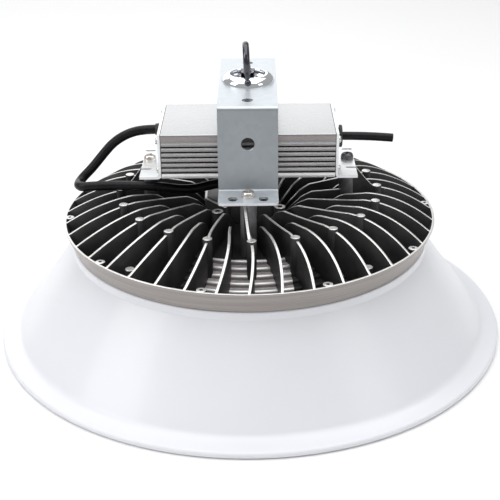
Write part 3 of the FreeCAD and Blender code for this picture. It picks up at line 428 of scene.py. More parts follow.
def shader_node(tree, kind, inputs=None, **settings):
    """Adds a node; inputs are values or sockets by name or number."""
    made = tree.nodes.new(kind)
    for key, value in settings.items():
        setattr(made, key, value)
    for key, value in (inputs or {}).items():
        if isinstance(value, bpy.types.NodeSocket):
            tree.links.new(value, made.inputs[key])
        else:
            made.inputs[key].default_value = value
    return made


def wire(tree, target, **sources):
    """Links sockets to a node's inputs by name, with underscores for spaces."""
    for label, source in sources.items():
        tree.links.new(source, target.inputs[label.replace("_", " ")])


def maths(tree, operation, *values, clamp=False):
    """Result of a Math node on two or three values or sockets."""
    made = shader_node(tree, "ShaderNodeMath", dict(enumerate(values)), operation=operation,
                       use_clamp=clamp)
    return made.outputs[0]


def both(tree, first, second):
    """Mask where two masks overlap: their product."""
    return maths(tree, "MULTIPLY", first, second)


def new_group(name, inputs, outputs):
    """An empty node group with named sockets. Returns the tree, its inputs and its output node."""
    tree = bpy.data.node_groups.new(name, "ShaderNodeTree")
    for label, kind, value in inputs:
        socket = tree.interface.new_socket(label, in_out="INPUT", socket_type=f"NodeSocket{kind}")
        socket.default_value = value
    for label, kind in outputs:
        tree.interface.new_socket(label, in_out="OUTPUT", socket_type=f"NodeSocket{kind}")
    entry = tree.nodes.new("NodeGroupInput")
    return tree, entry.outputs, tree.nodes.new("NodeGroupOutput")


def vary_surface(tree, given, out, noise, contrast, strength):
    """Ends a finish's group: its noise varies the roughness, the tone and the height."""
    centred = maths(tree, "SUBTRACT", noise.outputs["Fac"], 0.5)
    rough = maths(tree, "MULTIPLY_ADD", centred, given["Spread"], given["Roughness"], clamp=True)
    tone = maths(tree, "MULTIPLY_ADD", centred, contrast, 0.5, clamp=True)
    bump = shader_node(tree, "ShaderNodeBump", {"Height": noise.outputs["Fac"],
                                                "Strength": strength, "Distance": given["Depth"]})
    wire(tree, out, Roughness=rough, Tone=tone, Normal=bump.outputs["Normal"])
    return tree


def grain_group():
    """Fine grain: stretched noise that varies roughness, colour brightness and height."""
    tree, given, out = new_group(
        "Fine Grain",
        [("Spacing", "Vector", (0.001, 0.001, 0.001)), ("Roughness", "Float", 0.4),
         ("Spread", "Float", 0.1), ("Depth", "Float", 0.00002)],
        [("Roughness", "Float"), ("Tone", "Float"), ("Normal", "Vector")])
    place = shader_node(tree, "ShaderNodeTexCoord")
    fine = shader_node(tree, "ShaderNodeVectorMath", {0: place.outputs["Object"], 1: given["Spacing"]},
                       operation="DIVIDE")
    noise = shader_node(tree, "ShaderNodeTexNoise",
                        {"Vector": fine.outputs[0], "Scale": 1.0, "Detail": 3.0, "Roughness": 0.6})
    return vary_surface(tree, given, out, noise, contrast=2.0, strength=0.6)


def turned_group():
    """Lathe marks: fine rings about z, from noise on radius and height, with slow changes round."""
    tree, given, out = new_group(
        "Lathe Marks",
        [("Pitch", "Float", 0.0004), ("Roughness", "Float", 0.3), ("Spread", "Float", 0.2),
         ("Depth", "Float", 0.00002)],
        [("Roughness", "Float"), ("Tone", "Float"), ("Normal", "Vector")])
    place = shader_node(tree, "ShaderNodeTexCoord")
    split = shader_node(tree, "ShaderNodeSeparateXYZ", {0: place.outputs["Object"]})
    flat = shader_node(tree, "ShaderNodeCombineXYZ", {0: split.outputs[0], 1: split.outputs[1]})
    radius = shader_node(tree, "ShaderNodeVectorMath", {0: flat.outputs[0]}, operation="LENGTH")
    ring = maths(tree, "DIVIDE", radius.outputs["Value"], given["Pitch"])
    step = maths(tree, "DIVIDE", split.outputs[2], given["Pitch"])
    bearing = maths(tree, "ARCTAN2", split.outputs[1], split.outputs[0])
    vector = shader_node(tree, "ShaderNodeCombineXYZ", {0: ring, 1: step, 2: bearing})
    noise = shader_node(tree, "ShaderNodeTexNoise",
                        {"Vector": vector.outputs[0], "Scale": 1.0, "Detail": 2.0, "Roughness": 0.5})
    return vary_surface(tree, given, out, noise, contrast=2.4, strength=0.5)


def blended(tree, factor, first, second):
    """Colour between two colours or sockets."""
    mix = shader_node(tree, "ShaderNodeMix", {0: factor, 6: first, 7: second}, data_type="RGBA")
    return mix.outputs[2]


def stain_group():
    """Soft stains: slow noise mixed between two colours, as dust and handling leave them."""
    tree, given, out = new_group(
        "Soft Stains",
        [("Clean", "Color", (0.8, 0.8, 0.8, 1)), ("Stained", "Color", (0.5, 0.5, 0.5, 1)),
         ("Size", "Float", 0.03), ("Amount", "Float", 0.3)],
        [("Color", "Color"), ("Mask", "Float")])
    place = shader_node(tree, "ShaderNodeTexCoord")
    inverse = maths(tree, "DIVIDE", 1.0, given["Size"])
    wide = shader_node(tree, "ShaderNodeVectorMath", {0: place.outputs["Object"], "Scale": inverse},
                       operation="SCALE")
    noise = shader_node(tree, "ShaderNodeTexNoise",
                        {"Vector": wide.outputs[0], "Scale": 1.0, "Detail": 4.0, "Roughness": 0.55})
    spread = shader_node(tree, "ShaderNodeMapRange",
                         {"Value": noise.outputs["Fac"], "From Min": 0.38, "From Max": 0.68})
    amount = maths(tree, "MULTIPLY", spread.outputs["Result"], given["Amount"], clamp=True)
    wire(tree, out, Color=blended(tree, amount, given["Clean"], given["Stained"]), Mask=amount)
    return tree


def level_group():
    """Mask of faces that look up and lie above a height, as a cutter leaves them bare."""
    tree, given, out = new_group(
        "Machined Tops", [("Height", "Float", 0.1), ("Slope", "Float", 0.5)], [("Mask", "Float")])
    place = shader_node(tree, "ShaderNodeTexCoord")
    high = shader_node(tree, "ShaderNodeSeparateXYZ", {0: place.outputs["Object"]}).outputs[2]
    up = shader_node(tree, "ShaderNodeSeparateXYZ", {0: place.outputs["Normal"]}).outputs[2]
    above = maths(tree, "GREATER_THAN", high, given["Height"])
    facing = maths(tree, "GREATER_THAN", up, given["Slope"])
    wire(tree, out, Mask=both(tree, above, facing))
    return tree


GROUPS = {"grain": grain_group, "turned": turned_group, "stain": stain_group, "tops": level_group}
BUILT = {}


def effect(tree, key, inputs=None):
    """Places a shared node group in a material, building it the first time."""
    if key not in BUILT:
        BUILT[key] = GROUPS[key]()
    return shader_node(tree, "ShaderNodeGroup", inputs, node_tree=BUILT[key]).outputs


def finish(name, **constants):
    """A new material with its Principled node; constants go on the node's own sockets."""
    material = bpy.data.materials.new(name)
    material.use_nodes = True
    tree = material.node_tree
    surface = tree.nodes["Principled BSDF"]
    for label, value in constants.items():
        surface.inputs[label.replace("_", " ")].default_value = value
    return material, tree, surface


def shade_of(colour, factor=1.0):
    """Colour with alpha, brightened or darkened."""
    return tuple(min(1.0, channel * factor) for channel in colour) + (1.0,)


def grained(name, colour, stained, roughness, spacing=(0.001,) * 3, spread=0.1, depth=1e-5,
            amount=0.3, size=0.03, **constants):
    """A plain finish: stains in its colour and a fine grain in its roughness and height."""
    material, tree, surface = finish(name, **constants)
    grain = effect(tree, "grain", {"Spacing": spacing, "Roughness": roughness, "Spread": spread,
                                   "Depth": depth})
    stain = effect(tree, "stain", {"Clean": shade_of(colour), "Stained": shade_of(stained),
                                   "Size": size, "Amount": amount})
    wire(tree, surface, Base_Color=stain["Color"], Roughness=grain["Roughness"],
         Normal=grain["Normal"])
    return material


def powder_coat(colours):
    """Glossy white powder coat: faint orange peel under a clear gloss."""
    return grained("white_powder_coat", colours.shade, [c * 0.94 for c in colours.shade], 0.34,
                   spacing=(0.0016,) * 3, spread=0.05, depth=4e-6, amount=0.5, size=0.12,
                   Coat_Weight=0.3, Coat_Roughness=0.12)


def cast_coat(colours):
    """Black coat on the casting, with bare metal where a cutter or a lathe went over it."""
    material, tree, surface = finish("cast_black_coat")
    coat_and_metal(tree, surface, colours, cut_above=94.5)
    return material


def stepped_coat(colours):
    """The same coat, with the front of the stepped floor bare: partly real bare metal and partly a
    painted pool of light, kept to a front sector. Worn treads, painted shade on the risers, a
    painted shadow line at each riser's foot and a painted highlight on each tread's lip."""
    material, tree, surface = finish("cast_stepped_coat")
    colour, metallic, radius, where, facing = coat_and_metal(tree, surface, colours, cut_above=96.2)
    innermost = STEP_OUTER - TREAD * (STEP_COUNT - 1) - LIP_RADIUS - 0.1
    ring = both(tree, maths(tree, "LESS_THAN", radius, (STEP_OUTER + 0.4) * MM),
                maths(tree, "GREATER_THAN", radius, innermost * MM))
    sideways = maths(tree, "ABSOLUTE", where.outputs[0])
    widened = maths(tree, "MULTIPLY_ADD", where.outputs[1], RAW_TAPER, sideways)
    # Painted pool of light: the bare patch is kept to a front sector that widens outwards.
    lit_front_sector = both(tree, maths(tree, "LESS_THAN", widened, RAW_HALF_WIDTH * MM),
                  maths(tree, "LESS_THAN", where.outputs[1], 0.0))
    patch = both(tree, ring, lit_front_sector)
    inwards = maths(tree, "SUBTRACT", (STEP_OUTER + 0.2) * MM, radius)
    share = maths(tree, "FRACT", maths(tree, "DIVIDE", inwards, TREAD * MM))
    lip_highlight_share, riser_shadow_share, upright = 0.32, 0.86, 0.3
    # Masks for the painted shade on the risers, the painted shadow at each riser's foot and the
    # painted highlight on each tread's lip.
    riser = both(tree, patch, maths(tree, "LESS_THAN", facing, upright))
    corner = both(tree, patch, maths(tree, "GREATER_THAN", share, riser_shadow_share))
    edge = both(tree, maths(tree, "LESS_THAN", share, lip_highlight_share),
                maths(tree, "GREATER_THAN", facing, upright))
    lip = both(tree, patch, edge)
    worn = effect(tree, "stain", {"Clean": shade_of(colours.raw), "Size": 0.006, "Amount": 0.8,
                                  "Stained": shade_of(colours.raw, 0.55)})
    colour = blended(tree, patch, colour, worn["Color"])
    # Painted shade on the risers, painted shadow at their feet and a painted highlight on the lips.
    colour = blended(tree, riser, colour, shade_of(colours.raw, 0.62))
    colour = blended(tree, corner, colour, shade_of(colours.raw, 0.12))
    colour = blended(tree, lip, colour, (1.0, 0.99, 0.98, 1))
    metallic = maths(tree, "MULTIPLY_ADD", lip, 0.9, metallic, clamp=True)
    wire(tree, surface, Base_Color=colour, Metallic=metallic)
    return material


def coat_and_metal(tree, surface, colours, cut_above):
    """Wires the black coat and its bare metal: the tops that a cutter left above a height in
    millimetres, and the turned side of the ring. Gives back what another layer needs."""
    grain = effect(tree, "grain", {"Spacing": (0.0011,) * 3, "Roughness": 0.46, "Spread": 0.25,
                                   "Depth": 3e-5})
    lathe = effect(tree, "turned", {"Pitch": 0.0005, "Roughness": 0.34, "Spread": 0.3,
                                    "Depth": 1.2e-5})
    coat = effect(tree, "stain", {"Clean": shade_of(colours.sink), "Size": 0.02, "Amount": 0.7,
                                  "Stained": shade_of(colours.sink, 2.6)})
    tops = effect(tree, "tops", {"Height": cut_above * MM, "Slope": 0.45})["Mask"]
    place = shader_node(tree, "ShaderNodeTexCoord")
    where = shader_node(tree, "ShaderNodeSeparateXYZ", {0: place.outputs["Object"]})
    facing = shader_node(tree, "ShaderNodeSeparateXYZ", {0: place.outputs["Normal"]}).outputs[2]
    plan = shader_node(tree, "ShaderNodeCombineXYZ", {0: where.outputs[0], 1: where.outputs[1]})
    radius = shader_node(tree, "ShaderNodeVectorMath", {0: plan.outputs[0]}, operation="LENGTH")
    radius = radius.outputs["Value"]
    lean = ring_lean()
    just_inside = (RING_FOOT - SINK_BASE * lean - 1.2) * MM
    wall = maths(tree, "MULTIPLY_ADD", where.outputs[2], lean, just_inside)
    bare = maths(tree, "MAXIMUM", tops, maths(tree, "GREATER_THAN", radius, wall))
    band = blended(tree, lathe["Tone"], shade_of(colours.band, 0.72), shade_of(colours.band, 1.25))
    metal = blended(tree, lathe["Tone"], shade_of(colours.machined, 0.8),
                    shade_of(colours.machined, 1.1))
    colour = blended(tree, bare, coat["Color"], blended(tree, tops, band, metal))
    metallic = maths(tree, "MULTIPLY_ADD", tops, 0.2, maths(tree, "MULTIPLY", bare, 0.45))
    rough = shader_node(tree, "ShaderNodeMix", {0: bare, 2: grain["Roughness"],
                                                3: lathe["Roughness"]})
    normal = shader_node(tree, "ShaderNodeMix", {0: bare, 4: grain["Normal"],
                                                 5: lathe["Normal"]}, data_type="VECTOR")
    wire(tree, surface, Base_Color=colour, Metallic=metallic, Roughness=rough.outputs[0],
         Normal=normal.outputs[1])
    return colour, metallic, radius, where, facing


def galvanised(colours):
    """Zinc sheet: crystal patches of slightly different grey and gloss, with painted light making
    the faces that lie flat paler.
    """
    material, tree, surface = finish("galvanised_sheet", Metallic=0.5)
    place = shader_node(tree, "ShaderNodeTexCoord")
    crystal = shader_node(tree, "ShaderNodeTexVoronoi", {"Vector": place.outputs["Object"],
                                                         "Scale": 210.0})
    tone = shader_node(tree, "ShaderNodeSeparateColor", {0: crystal.outputs["Color"]}).outputs[0]
    grain = effect(tree, "grain", {"Spacing": (0.0006,) * 3, "Roughness": 0.36, "Spread": 0.12,
                                   "Depth": 5e-6})
    level = shader_node(tree, "ShaderNodeSeparateXYZ", {0: place.outputs["Normal"]}).outputs[2]
    upright = blended(tree, tone, shade_of(colours.zinc, 0.965), shade_of(colours.zinc, 1.035))
    # Painted light: faces that lie flat get a paler copy of the zinc, as if lit from above.
    lit_flat = blended(tree, tone, shade_of(colours.zinc, 1.75), shade_of(colours.zinc, 1.9))
    colour = blended(tree, maths(tree, "GREATER_THAN", level, 0.6), upright, lit_flat)
    gloss = maths(tree, "MULTIPLY_ADD", tone, 0.04, grain["Roughness"], clamp=True)
    wire(tree, surface, Base_Color=colour, Roughness=gloss, Normal=grain["Normal"])
    return material


def brushed(name, colour, roughness=0.3, **constants):
    """Aluminium brushed along x: noise stretched along the strokes."""
    return grained(name, colour, [c * 0.85 for c in colour], roughness,
                   spacing=(0.02, 0.0004, 0.0004), spread=0.22, depth=6e-6, amount=0.35,
                   Metallic=0.85, **constants)


def ribbed(colours):
    """Brushed aluminium case in its own colour on top and near white on its lower lip, with painted
    shade darkening the ribs' upright faces and a painted black shadow down in the grooves."""
    material, tree, surface = finish("ribbed_aluminium")
    grain = effect(tree, "grain", {"Spacing": (0.02, 0.0004, 0.0004), "Roughness": 0.27,
                                   "Spread": 0.2, "Depth": 6e-6})
    place = shader_node(tree, "ShaderNodeTexCoord")
    where = shader_node(tree, "ShaderNodeSeparateXYZ", {0: place.outputs["Object"]})
    facing = shader_node(tree, "ShaderNodeSeparateXYZ", {0: place.outputs["Normal"]})
    height = where.outputs[2]
    lip_top = (CASE_FOOT + CASE_LIP + 0.1) * MM
    # Painted shade: upright faces in the band of ribs take the darker rib colour, for the shade they
    # get under light from above.
    upright = maths(tree, "LESS_THAN", facing.outputs[2], 0.35)
    ribs = both(tree, maths(tree, "GREATER_THAN", height, lip_top),
                maths(tree, "LESS_THAN", height, (CASE_TOP - 0.5) * MM))
    sunk = maths(tree, "LESS_THAN", maths(tree, "ABSOLUTE", where.outputs[1]),
                 (CASE_HALF_DEPTH - 1.6) * MM)
    groove = both(tree, sunk, maths(tree, "LESS_THAN", height, (CASE_TOP - 2.5) * MM))
    lip = maths(tree, "LESS_THAN", height, lip_top)
    rib_shade = blended(tree, grain["Tone"], shade_of(colours.ribs, 0.85), shade_of(colours.ribs, 1.15))
    bright = blended(tree, grain["Tone"], shade_of(colours.case, 0.93), shade_of(colours.case, 1.06))
    bright = blended(tree, lip, bright, (0.97, 0.97, 0.98, 1))
    colour = blended(tree, both(tree, upright, ribs), bright, rib_shade)
    # Painted shadow: whatever lies sunk in the grooves turns near black.
    colour = blended(tree, groove, colour, (0.012, 0.011, 0.011, 1))
    wire(tree, surface, Base_Color=colour, Roughness=grain["Roughness"], Normal=grain["Normal"],
         Metallic=maths(tree, "MULTIPLY_ADD", lip, -0.5, 0.85))
    return material


def jacket(colours):
    """Black cable jacket: satin, with fine draw marks along and faint scuffs."""
    return grained("cable_jacket", colours.cable, [c * 3.0 for c in colours.cable], 0.3,
                   spacing=(0.004, 0.0006, 0.0006), spread=0.25, depth=1.5e-5, amount=0.6, size=0.01,
                   Specular_IOR_Level=0.22)


def clear_cover():
    """Clear moulded cover with a slight texture."""
    material, tree, surface = finish("clear_cover", IOR=1.49, Transmission_Weight=0.85)
    grain = effect(tree, "grain", {"Spacing": (0.002,) * 3, "Roughness": 0.16, "Spread": 0.06,
                                   "Depth": 1e-5})
    tint = effect(tree, "stain", {"Clean": (0.93, 0.95, 0.96, 1), "Stained": (0.86, 0.88, 0.88, 1),
                                  "Size": 0.05, "Amount": 0.4})
    wire(tree, surface, Base_Color=tint["Color"], Roughness=grain["Roughness"],
         Normal=grain["Normal"])
    return material


# ---------------------------------------------------------------- pieces

def ring_lean():
    """How far the ring's wall leans out for each millimetre up."""
    return (mm(sizes().ring_radius) - RING_FOOT) / (RING_TOP - SINK_BASE)


def fin_middle(radius):
    """Sideways place of a fin: a parabola that bows one way outside the turn and sweeps the other
    way inside it."""
    half = (mm(sizes().ring_radius) - FIN_TURN) / 2
    outside = FIN_BOW * (1 - ((radius - FIN_TURN - half) / half) ** 2)
    inside = -FIN_SWEEP * (1 - ((radius - HUB_RADIUS) / (FIN_TURN - HUB_RADIUS)) ** 2)
    return np.where(radius >= FIN_TURN, outside, inside)


def fin_top(radius):
    """Height of a fin: up from the well in the middle to its throat, a straight rise to the crest,
    then a bowed fall to the ring."""
    crest, ring = mm(sizes().fin_crest), mm(sizes().ring_radius) - RING_WALL
    rise = np.interp(radius, [WELL_RADIUS, THROAT_RADIUS - 8, THROAT_RADIUS, CREST_RADIUS],
                     [WELL_FLOOR + 1, THROAT_TOP - 4, THROAT_TOP, crest])
    share = np.clip((radius - CREST_RADIUS) / (ring - CREST_RADIUS), 0, 1)
    fall = crest + (RING_TOP - crest) * share + CREST_BOW * share * (1 - share)
    return np.where(radius <= CREST_RADIUS, rise, fall)


def fin_floor(radius):
    """Height of the floor under a fin: treads that step down outwards."""
    steps = np.clip(np.ceil((STEP_OUTER - radius) / TREAD), 0, STEP_COUNT)
    return FLOOR_LOW + steps * RISER


def fin(start, nose=0.0):
    """Wall along a curved middle line: at each radius the section is a thin strip with rounded
    upper edges, from the floor to the fin's top. Its outer end leans with the ring, and a nose,
    a quarter of an ellipse, rounds its inner end down to the floor."""
    outer = mm(sizes().ring_radius) - RING_WALL / 2
    radius = start + (outer - start) * np.linspace(0, 1, 46) ** 0.9
    top, low = fin_top(radius), fin_floor(radius) - 0.6
    if nose:
        share = np.clip((radius - start) / nose, 0, 1)
        top = low + 1.2 + (top - low - 1.2) * np.sqrt(1 - (1 - share) ** 2)
    half, soft = mm(sizes().fin_wall) / 2, FIN_EDGE
    across = np.array([-half, -half, -half + 0.3 * soft, -half + soft,
                       half - soft, half - 0.3 * soft, half, half])
    drop = np.array([0, soft, 0.3 * soft, 0, 0, 0.3 * soft, soft, 0])
    side = fin_middle(radius)[:, None] + across
    height = top[:, None] - drop
    height[:, 0] = low
    height[:, -1] = low
    wall = RING_FOOT + ring_lean() * (height - SINK_BASE) - RING_WALL / 2
    grid = np.stack([side, -np.minimum(radius[:, None], wall), height], -1)
    faces = grid_faces(len(radius), len(across)) + ends(len(radius), len(across))
    return grid.reshape(-1, 3), faces


def casting_base():
    """Closed section of middle well, stepped floor and leaning ring, turned about z."""
    treads = [(STEP_OUTER - TREAD * index, FLOOR_LOW + RISER * (index + up), LIP_RADIUS * up)
              for index in range(STEP_COUNT) for up in (0, 1)]
    ring = mm(sizes().ring_radius)
    inside_foot = RING_FOOT - RING_WALL + ring_lean() * (FLOOR_LOW - SINK_BASE)
    corners = [(0, SINK_BASE), (RING_FOOT, SINK_BASE, 0.5), (ring, RING_TOP, 0.5),
               (ring - RING_WALL, RING_TOP, 0.4), (inside_foot, FLOOR_LOW, 0.8)]
    corners += treads + [(WELL_RADIUS, FLOOR_HIGH), (WELL_RADIUS - 2, WELL_FLOOR), (0, WELL_FLOOR)]
    return revolved(rounded(corners, 5), 220, closed=False)


def post_rib():
    """Wedge from a post's shoulder down to a pin: a four-cornered section carried along the slope,
    which sways sideways from the fins' middle line at the foot to the post's flank at the top."""
    foot, crest, half = PIN_CIRCLE - 2.5, mm(sizes().fin_crest), mm(sizes().fin_wall) / 2 - 0.1
    share = np.linspace(0, 1, 14)[:, None]
    reach = foot + (POST_CIRCLE + 4.5 - foot) * share
    top = crest - 0.4 + (POST_TOP - 0.6 - crest) * share ** 1.15
    x = 0.6 - 3.6 * share + np.array([-half, half, half, -half])
    y = -reach + np.array([0, 0, 5, 5]) * share
    z = np.concatenate([top, top, 0 * top + crest - 6, 0 * top + crest - 6], 1)
    faces = grid_faces(len(share), 4) + ends(len(share), 4)
    return np.stack([x, y, z], -1).reshape(-1, 3), faces


def pins(count):
    """Round pins with a softened top edge, one on each long fin."""
    radius, top = mm(sizes().pin_radius), mm(sizes().fin_crest) + 0.2
    levels = [(FLOOR_LOW + 0.5, 1), (top - 0.5, 1), (top - 0.15, 0.96), (top, 0.88)]
    place = circle(float(fin_middle(PIN_CIRCLE)), -PIN_CIRCLE, radius)
    return around(prism(place, levels), count)


def lugs():
    """Round dimpled lugs that lean with the ring's wall, and upright bosses for the clamp screws."""
    levels = [(LUG_FOOT, 1), (RING_TOP, 1), (RING_TOP + 0.12, 0.93), (RING_TOP + 0.12, 0.36),
              (RING_TOP - 1.2, 0.3)]
    lug = prism(circle(*spot(LUG_CIRCLE, 0), LUG_RADIUS), levels, ring_lean())
    boss = prism(circle(*spot(BOSS_CIRCLE, 0), BOSS_RADIUS),
                 [(FLOOR_LOW - 1, 1), (BOSS_TOP - 0.4, 1), (BOSS_TOP, 0.9)])
    bosses = [around(boss, 2, angle) for angle in (BOSS_ANGLE, -BOSS_ANGLE)]
    return joined([around(lug, LUG_COUNT, LUG_ANGLE)] + bosses)


def posts():
    """Four round posts."""
    levels = [(FLOOR_LOW, 1), (POST_TOP - 0.5, 1), (POST_TOP - 0.02, 0.93)]
    return around(prism(circle(*spot(POST_CIRCLE, 0), mm(sizes().post_radius), 36), levels), 4)


def cable_block():
    """Rounded block on the hub, which the lead from the driver enters."""
    left, right, half, corner = -6, 18, 13, 3
    plan = rounded([(left, -half, corner), (right, -half, corner), (right, half, corner),
                    (left, half, corner)])
    top = HUB_TOP + 18
    return prism(plan, [(HUB_TOP - 1, 1), (top - 0.5, 1), (top, 0.96)])


def hub_cover():
    """Low box with cut corners over the well and two round lugs beside it, and the sheet on top."""
    plan = rounded([(-35, -14, 3), (-17, -35, 2), (-14, -24, 2), (20, -24, 3), (22, 20, 3),
                    (14, 30, 3), (-16, 34, 3), (-35, 14, 3)])
    box = prism(plan, [(WELL_FLOOR - 1, 1), (HUB_TOP - 0.4, 1), (HUB_TOP, 0.99)])
    lugs = [prism(circle(x, y, 4.3), [(WELL_FLOOR - 1, 1), (HUB_TOP - 0.2, 1), (HUB_TOP, 0.95),
                                      (HUB_TOP, 0.5), (HUB_TOP - 1.5, 0.45)])
            for x, y in ((-24, -40), (24, -32))]
    sheet = prism(plan, [(HUB_TOP - 1, 0.93), (HUB_TOP + 0.3, 0.93), (HUB_TOP + 0.5, 0.92)])
    return joined([box] + lugs), sheet


def hook_rows():
    """Middle line and radius of the hook: a threaded shank, a half-round bow and a short drop that
    ends in a ball. The thread is a helical ridge: radius plus a triangle wave of height and turn."""
    rod, bow = mm(sizes().hook_rod), HOOK_BOW
    thread = np.arange(HOOK_FOOT, THREAD_TOP, 0.125)
    plain = np.array([THREAD_TOP + 0.6, THREAD_TOP + 3.5, HOOK_SPRING])
    turn = np.linspace(0, math.pi, 26)[1:]
    fall = np.array([-4.0, -6.5, -8.0, -9.0, -10.0, -10.9])
    neck = np.array([1.0, 0.98, 0.82, 0.62, 0.52, 0.5])
    ball = rod * 1.06
    swell = np.linspace(-0.36 * math.pi, 0.5 * math.pi, 14)
    y = np.concatenate([0 * thread, 0 * plain, -bow + bow * np.cos(turn), 0 * fall - 2 * bow,
                        0 * swell - 2 * bow])
    z = np.concatenate([thread, plain, HOOK_SPRING + bow * np.sin(turn), HOOK_SPRING + fall,
                        HOOK_SPRING - HOOK_DROP - ball * np.sin(swell)])
    radius = np.concatenate([0 * thread + rod + 0.2, 0 * plain + rod, 0 * turn + rod, neck * rod,
                             np.maximum(ball * np.cos(swell), 0.02)])
    depth = 0.6 * np.clip(np.minimum(thread - HOOK_FOOT, THREAD_TOP - thread), 0, 0.5)
    ridge = np.concatenate([depth, np.zeros(len(y) - len(thread))])
    return y, z, radius, ridge


def hook_shape():
    """A circle carried along the hook's middle line, then turned about z and leant to one side."""
    y, z, radius, ridge = hook_rows()
    line = np.stack([0 * y, y, z], -1)
    along = np.gradient(line, axis=0)
    along /= np.linalg.norm(along, axis=1, keepdims=True)
    side = np.array([1.0, 0.0, 0.0])
    other = np.cross(along, side)
    steps = 24
    angle = np.arange(steps) / steps * FULL_TURN
    phase = (z[:, None] / THREAD_PITCH + angle / FULL_TURN) % 1.0
    reach = radius[:, None] + ridge[:, None] * (np.abs(2 * phase - 1) - 0.2)
    grid = line[:, None] + reach[..., None] * (np.cos(angle)[:, None] * side
                                               + np.sin(angle)[:, None] * other[:, None])
    faces = grid_faces(len(y), steps) + ends(len(y), steps)
    turn = math.radians(HOOK_TURN)
    rotation = [[math.cos(turn), -math.sin(turn), 0], [math.sin(turn), math.cos(turn), 0], [0, 0, 1]]
    vertices, faces = moved((grid.reshape(-1, 3), faces), rotation)
    vertices[:, 0] -= HOOK_LEAN * np.maximum(vertices[:, 2] - DOME_FLOOR, 0)
    return vertices, faces


def screw_head(radius, height, shank, turn):
    """Pan head on polar rings: a flattened dome, less a cross whose depth fades towards its ends."""
    steps = 48
    share = np.concatenate([np.linspace(0.02, 0.62, 16), np.linspace(0.66, 1, 8)])
    angle = np.arange(steps) / steps * FULL_TURN
    dome = height * (1 - 0.22 * share ** 2 - 0.42 * np.clip((share - 0.72) / 0.28, 0, 1) ** 2.4)
    x = share[:, None] * np.cos(angle + turn)
    y = share[:, None] * np.sin(angle + turn)
    arm = np.minimum(np.abs(x), np.abs(y))
    reach = np.maximum(np.abs(x), np.abs(y))
    cross = np.clip((0.15 - arm) / 0.05, 0, 1) * np.clip((0.56 - reach) / 0.08, 0, 1)
    top = dome[:, None] - 0.55 * height * cross
    rows = [np.stack([radius * share[:, None] * np.cos(angle), radius * share[:, None] * np.sin(angle),
                      top], -1)]
    for size, level in ((1.0, 0.12 * height), (0.97, 0.0), (shank / radius, 0.0),
                        (shank / radius, -SHANK_STUB)):
        rows.append(np.stack([radius * size * np.cos(angle), radius * size * np.sin(angle),
                              np.full(steps, level)], -1)[None])
    grid = np.concatenate(rows)
    faces = grid_faces(len(grid), steps) + ends(len(grid), steps)
    return grid.reshape(-1, 3), faces


def bracket_section():
    """Side view of the folded sheet: both faces follow the same path one sheet apart."""
    outer, wide = BRACKET_LEG + BRACKET_SHEET, BRACKET_BEND + BRACKET_SHEET
    under = [(-BRACKET_REACH, POST_TOP), (-BRACKET_LEG, POST_TOP, wide),
             (-BRACKET_LEG, BRACKET_TOP - BRACKET_SHEET, BRACKET_BEND)]
    over = [(-outer, BRACKET_TOP, wide), (-outer, POST_TOP + BRACKET_SHEET, BRACKET_BEND),
            (-BRACKET_REACH, POST_TOP + BRACKET_SHEET)]
    mirror = [[(-corner[0], *corner[1:]) for corner in side[::-1]] for side in (under, over)]
    return rounded(under + mirror[0] + mirror[1] + over, 7)


def bracket_cutters():
    """Plan of the feet's rounded corners, and the plain cylinders of every hole."""
    half, reach, corner = BRACKET_HALF, BRACKET_REACH, FOOT_CORNER
    through_feet, through_top = ([(height, 1) for height in span] for span in (DRILL_FEET, DRILL_TOP))
    plan = prism(rounded([(-half, -reach, corner), (half, -reach, corner), (half, reach, corner),
                          (-half, reach, corner)], 9), [through_feet[0], through_top[1]])
    slot = circle(0, 0, FOOT_SLOT_RADIUS, 32) * (1, FOOT_SLOT_STRETCH)
    across, out = FOOT_SLOT
    drills = [prism(slot + (x, y), through_feet) for x in (-across, across) for y in (-out, out)]
    drills += [prism(circle(0, y, FOOT_HOLE_RADIUS), through_feet)
               for y in (-POST_CIRCLE, POST_CIRCLE)]
    drills += [prism(circle(0, y, TOP_HOLE_RADIUS), through_top)
               for y in (-TOP_HOLE_PLACE, TOP_HOLE_PLACE)]
    drills += [prism(circle(0, 0, HOOK_HOLE_RADIUS), through_top)]
    legs = prism(circle(0, 0, LEG_HOLE_RADIUS, 36), [(-DRILL_LEGS, 1), (DRILL_LEGS, 1)])
    return plan, joined(drills + [moved(legs, ALONG_Y, (0, 0, LEG_HOLE_HEIGHT))])


def carved(name, shape, cuts):
    """Mesh of a shape after boolean cuts, each an operation and the shape that it uses."""
    body = object_of(name, shape, merged=False)
    tools = [object_of(f"{name}_tool", tool, merged=False) for _, tool in cuts]
    for (operation, _), tool in zip(cuts, tools):
        cut = body.modifiers.new("cut", "BOOLEAN")
        cut.operation, cut.object, cut.solver, cut.use_self = operation, tool, "EXACT", False
    bpy.context.view_layer.update()
    evaluated = body.evaluated_get(bpy.context.evaluated_depsgraph_get())
    result = bpy.data.meshes.new_from_object(evaluated)
    vertices = np.empty(len(result.vertices) * 3, np.float32)
    result.vertices.foreach_get("co", vertices)
    faces = [list(face.vertices) for face in result.polygons]
    for each in [body] + tools:
        bpy.data.objects.remove(each)
    return vertices.reshape(-1, 3).astype(float) / MM, faces


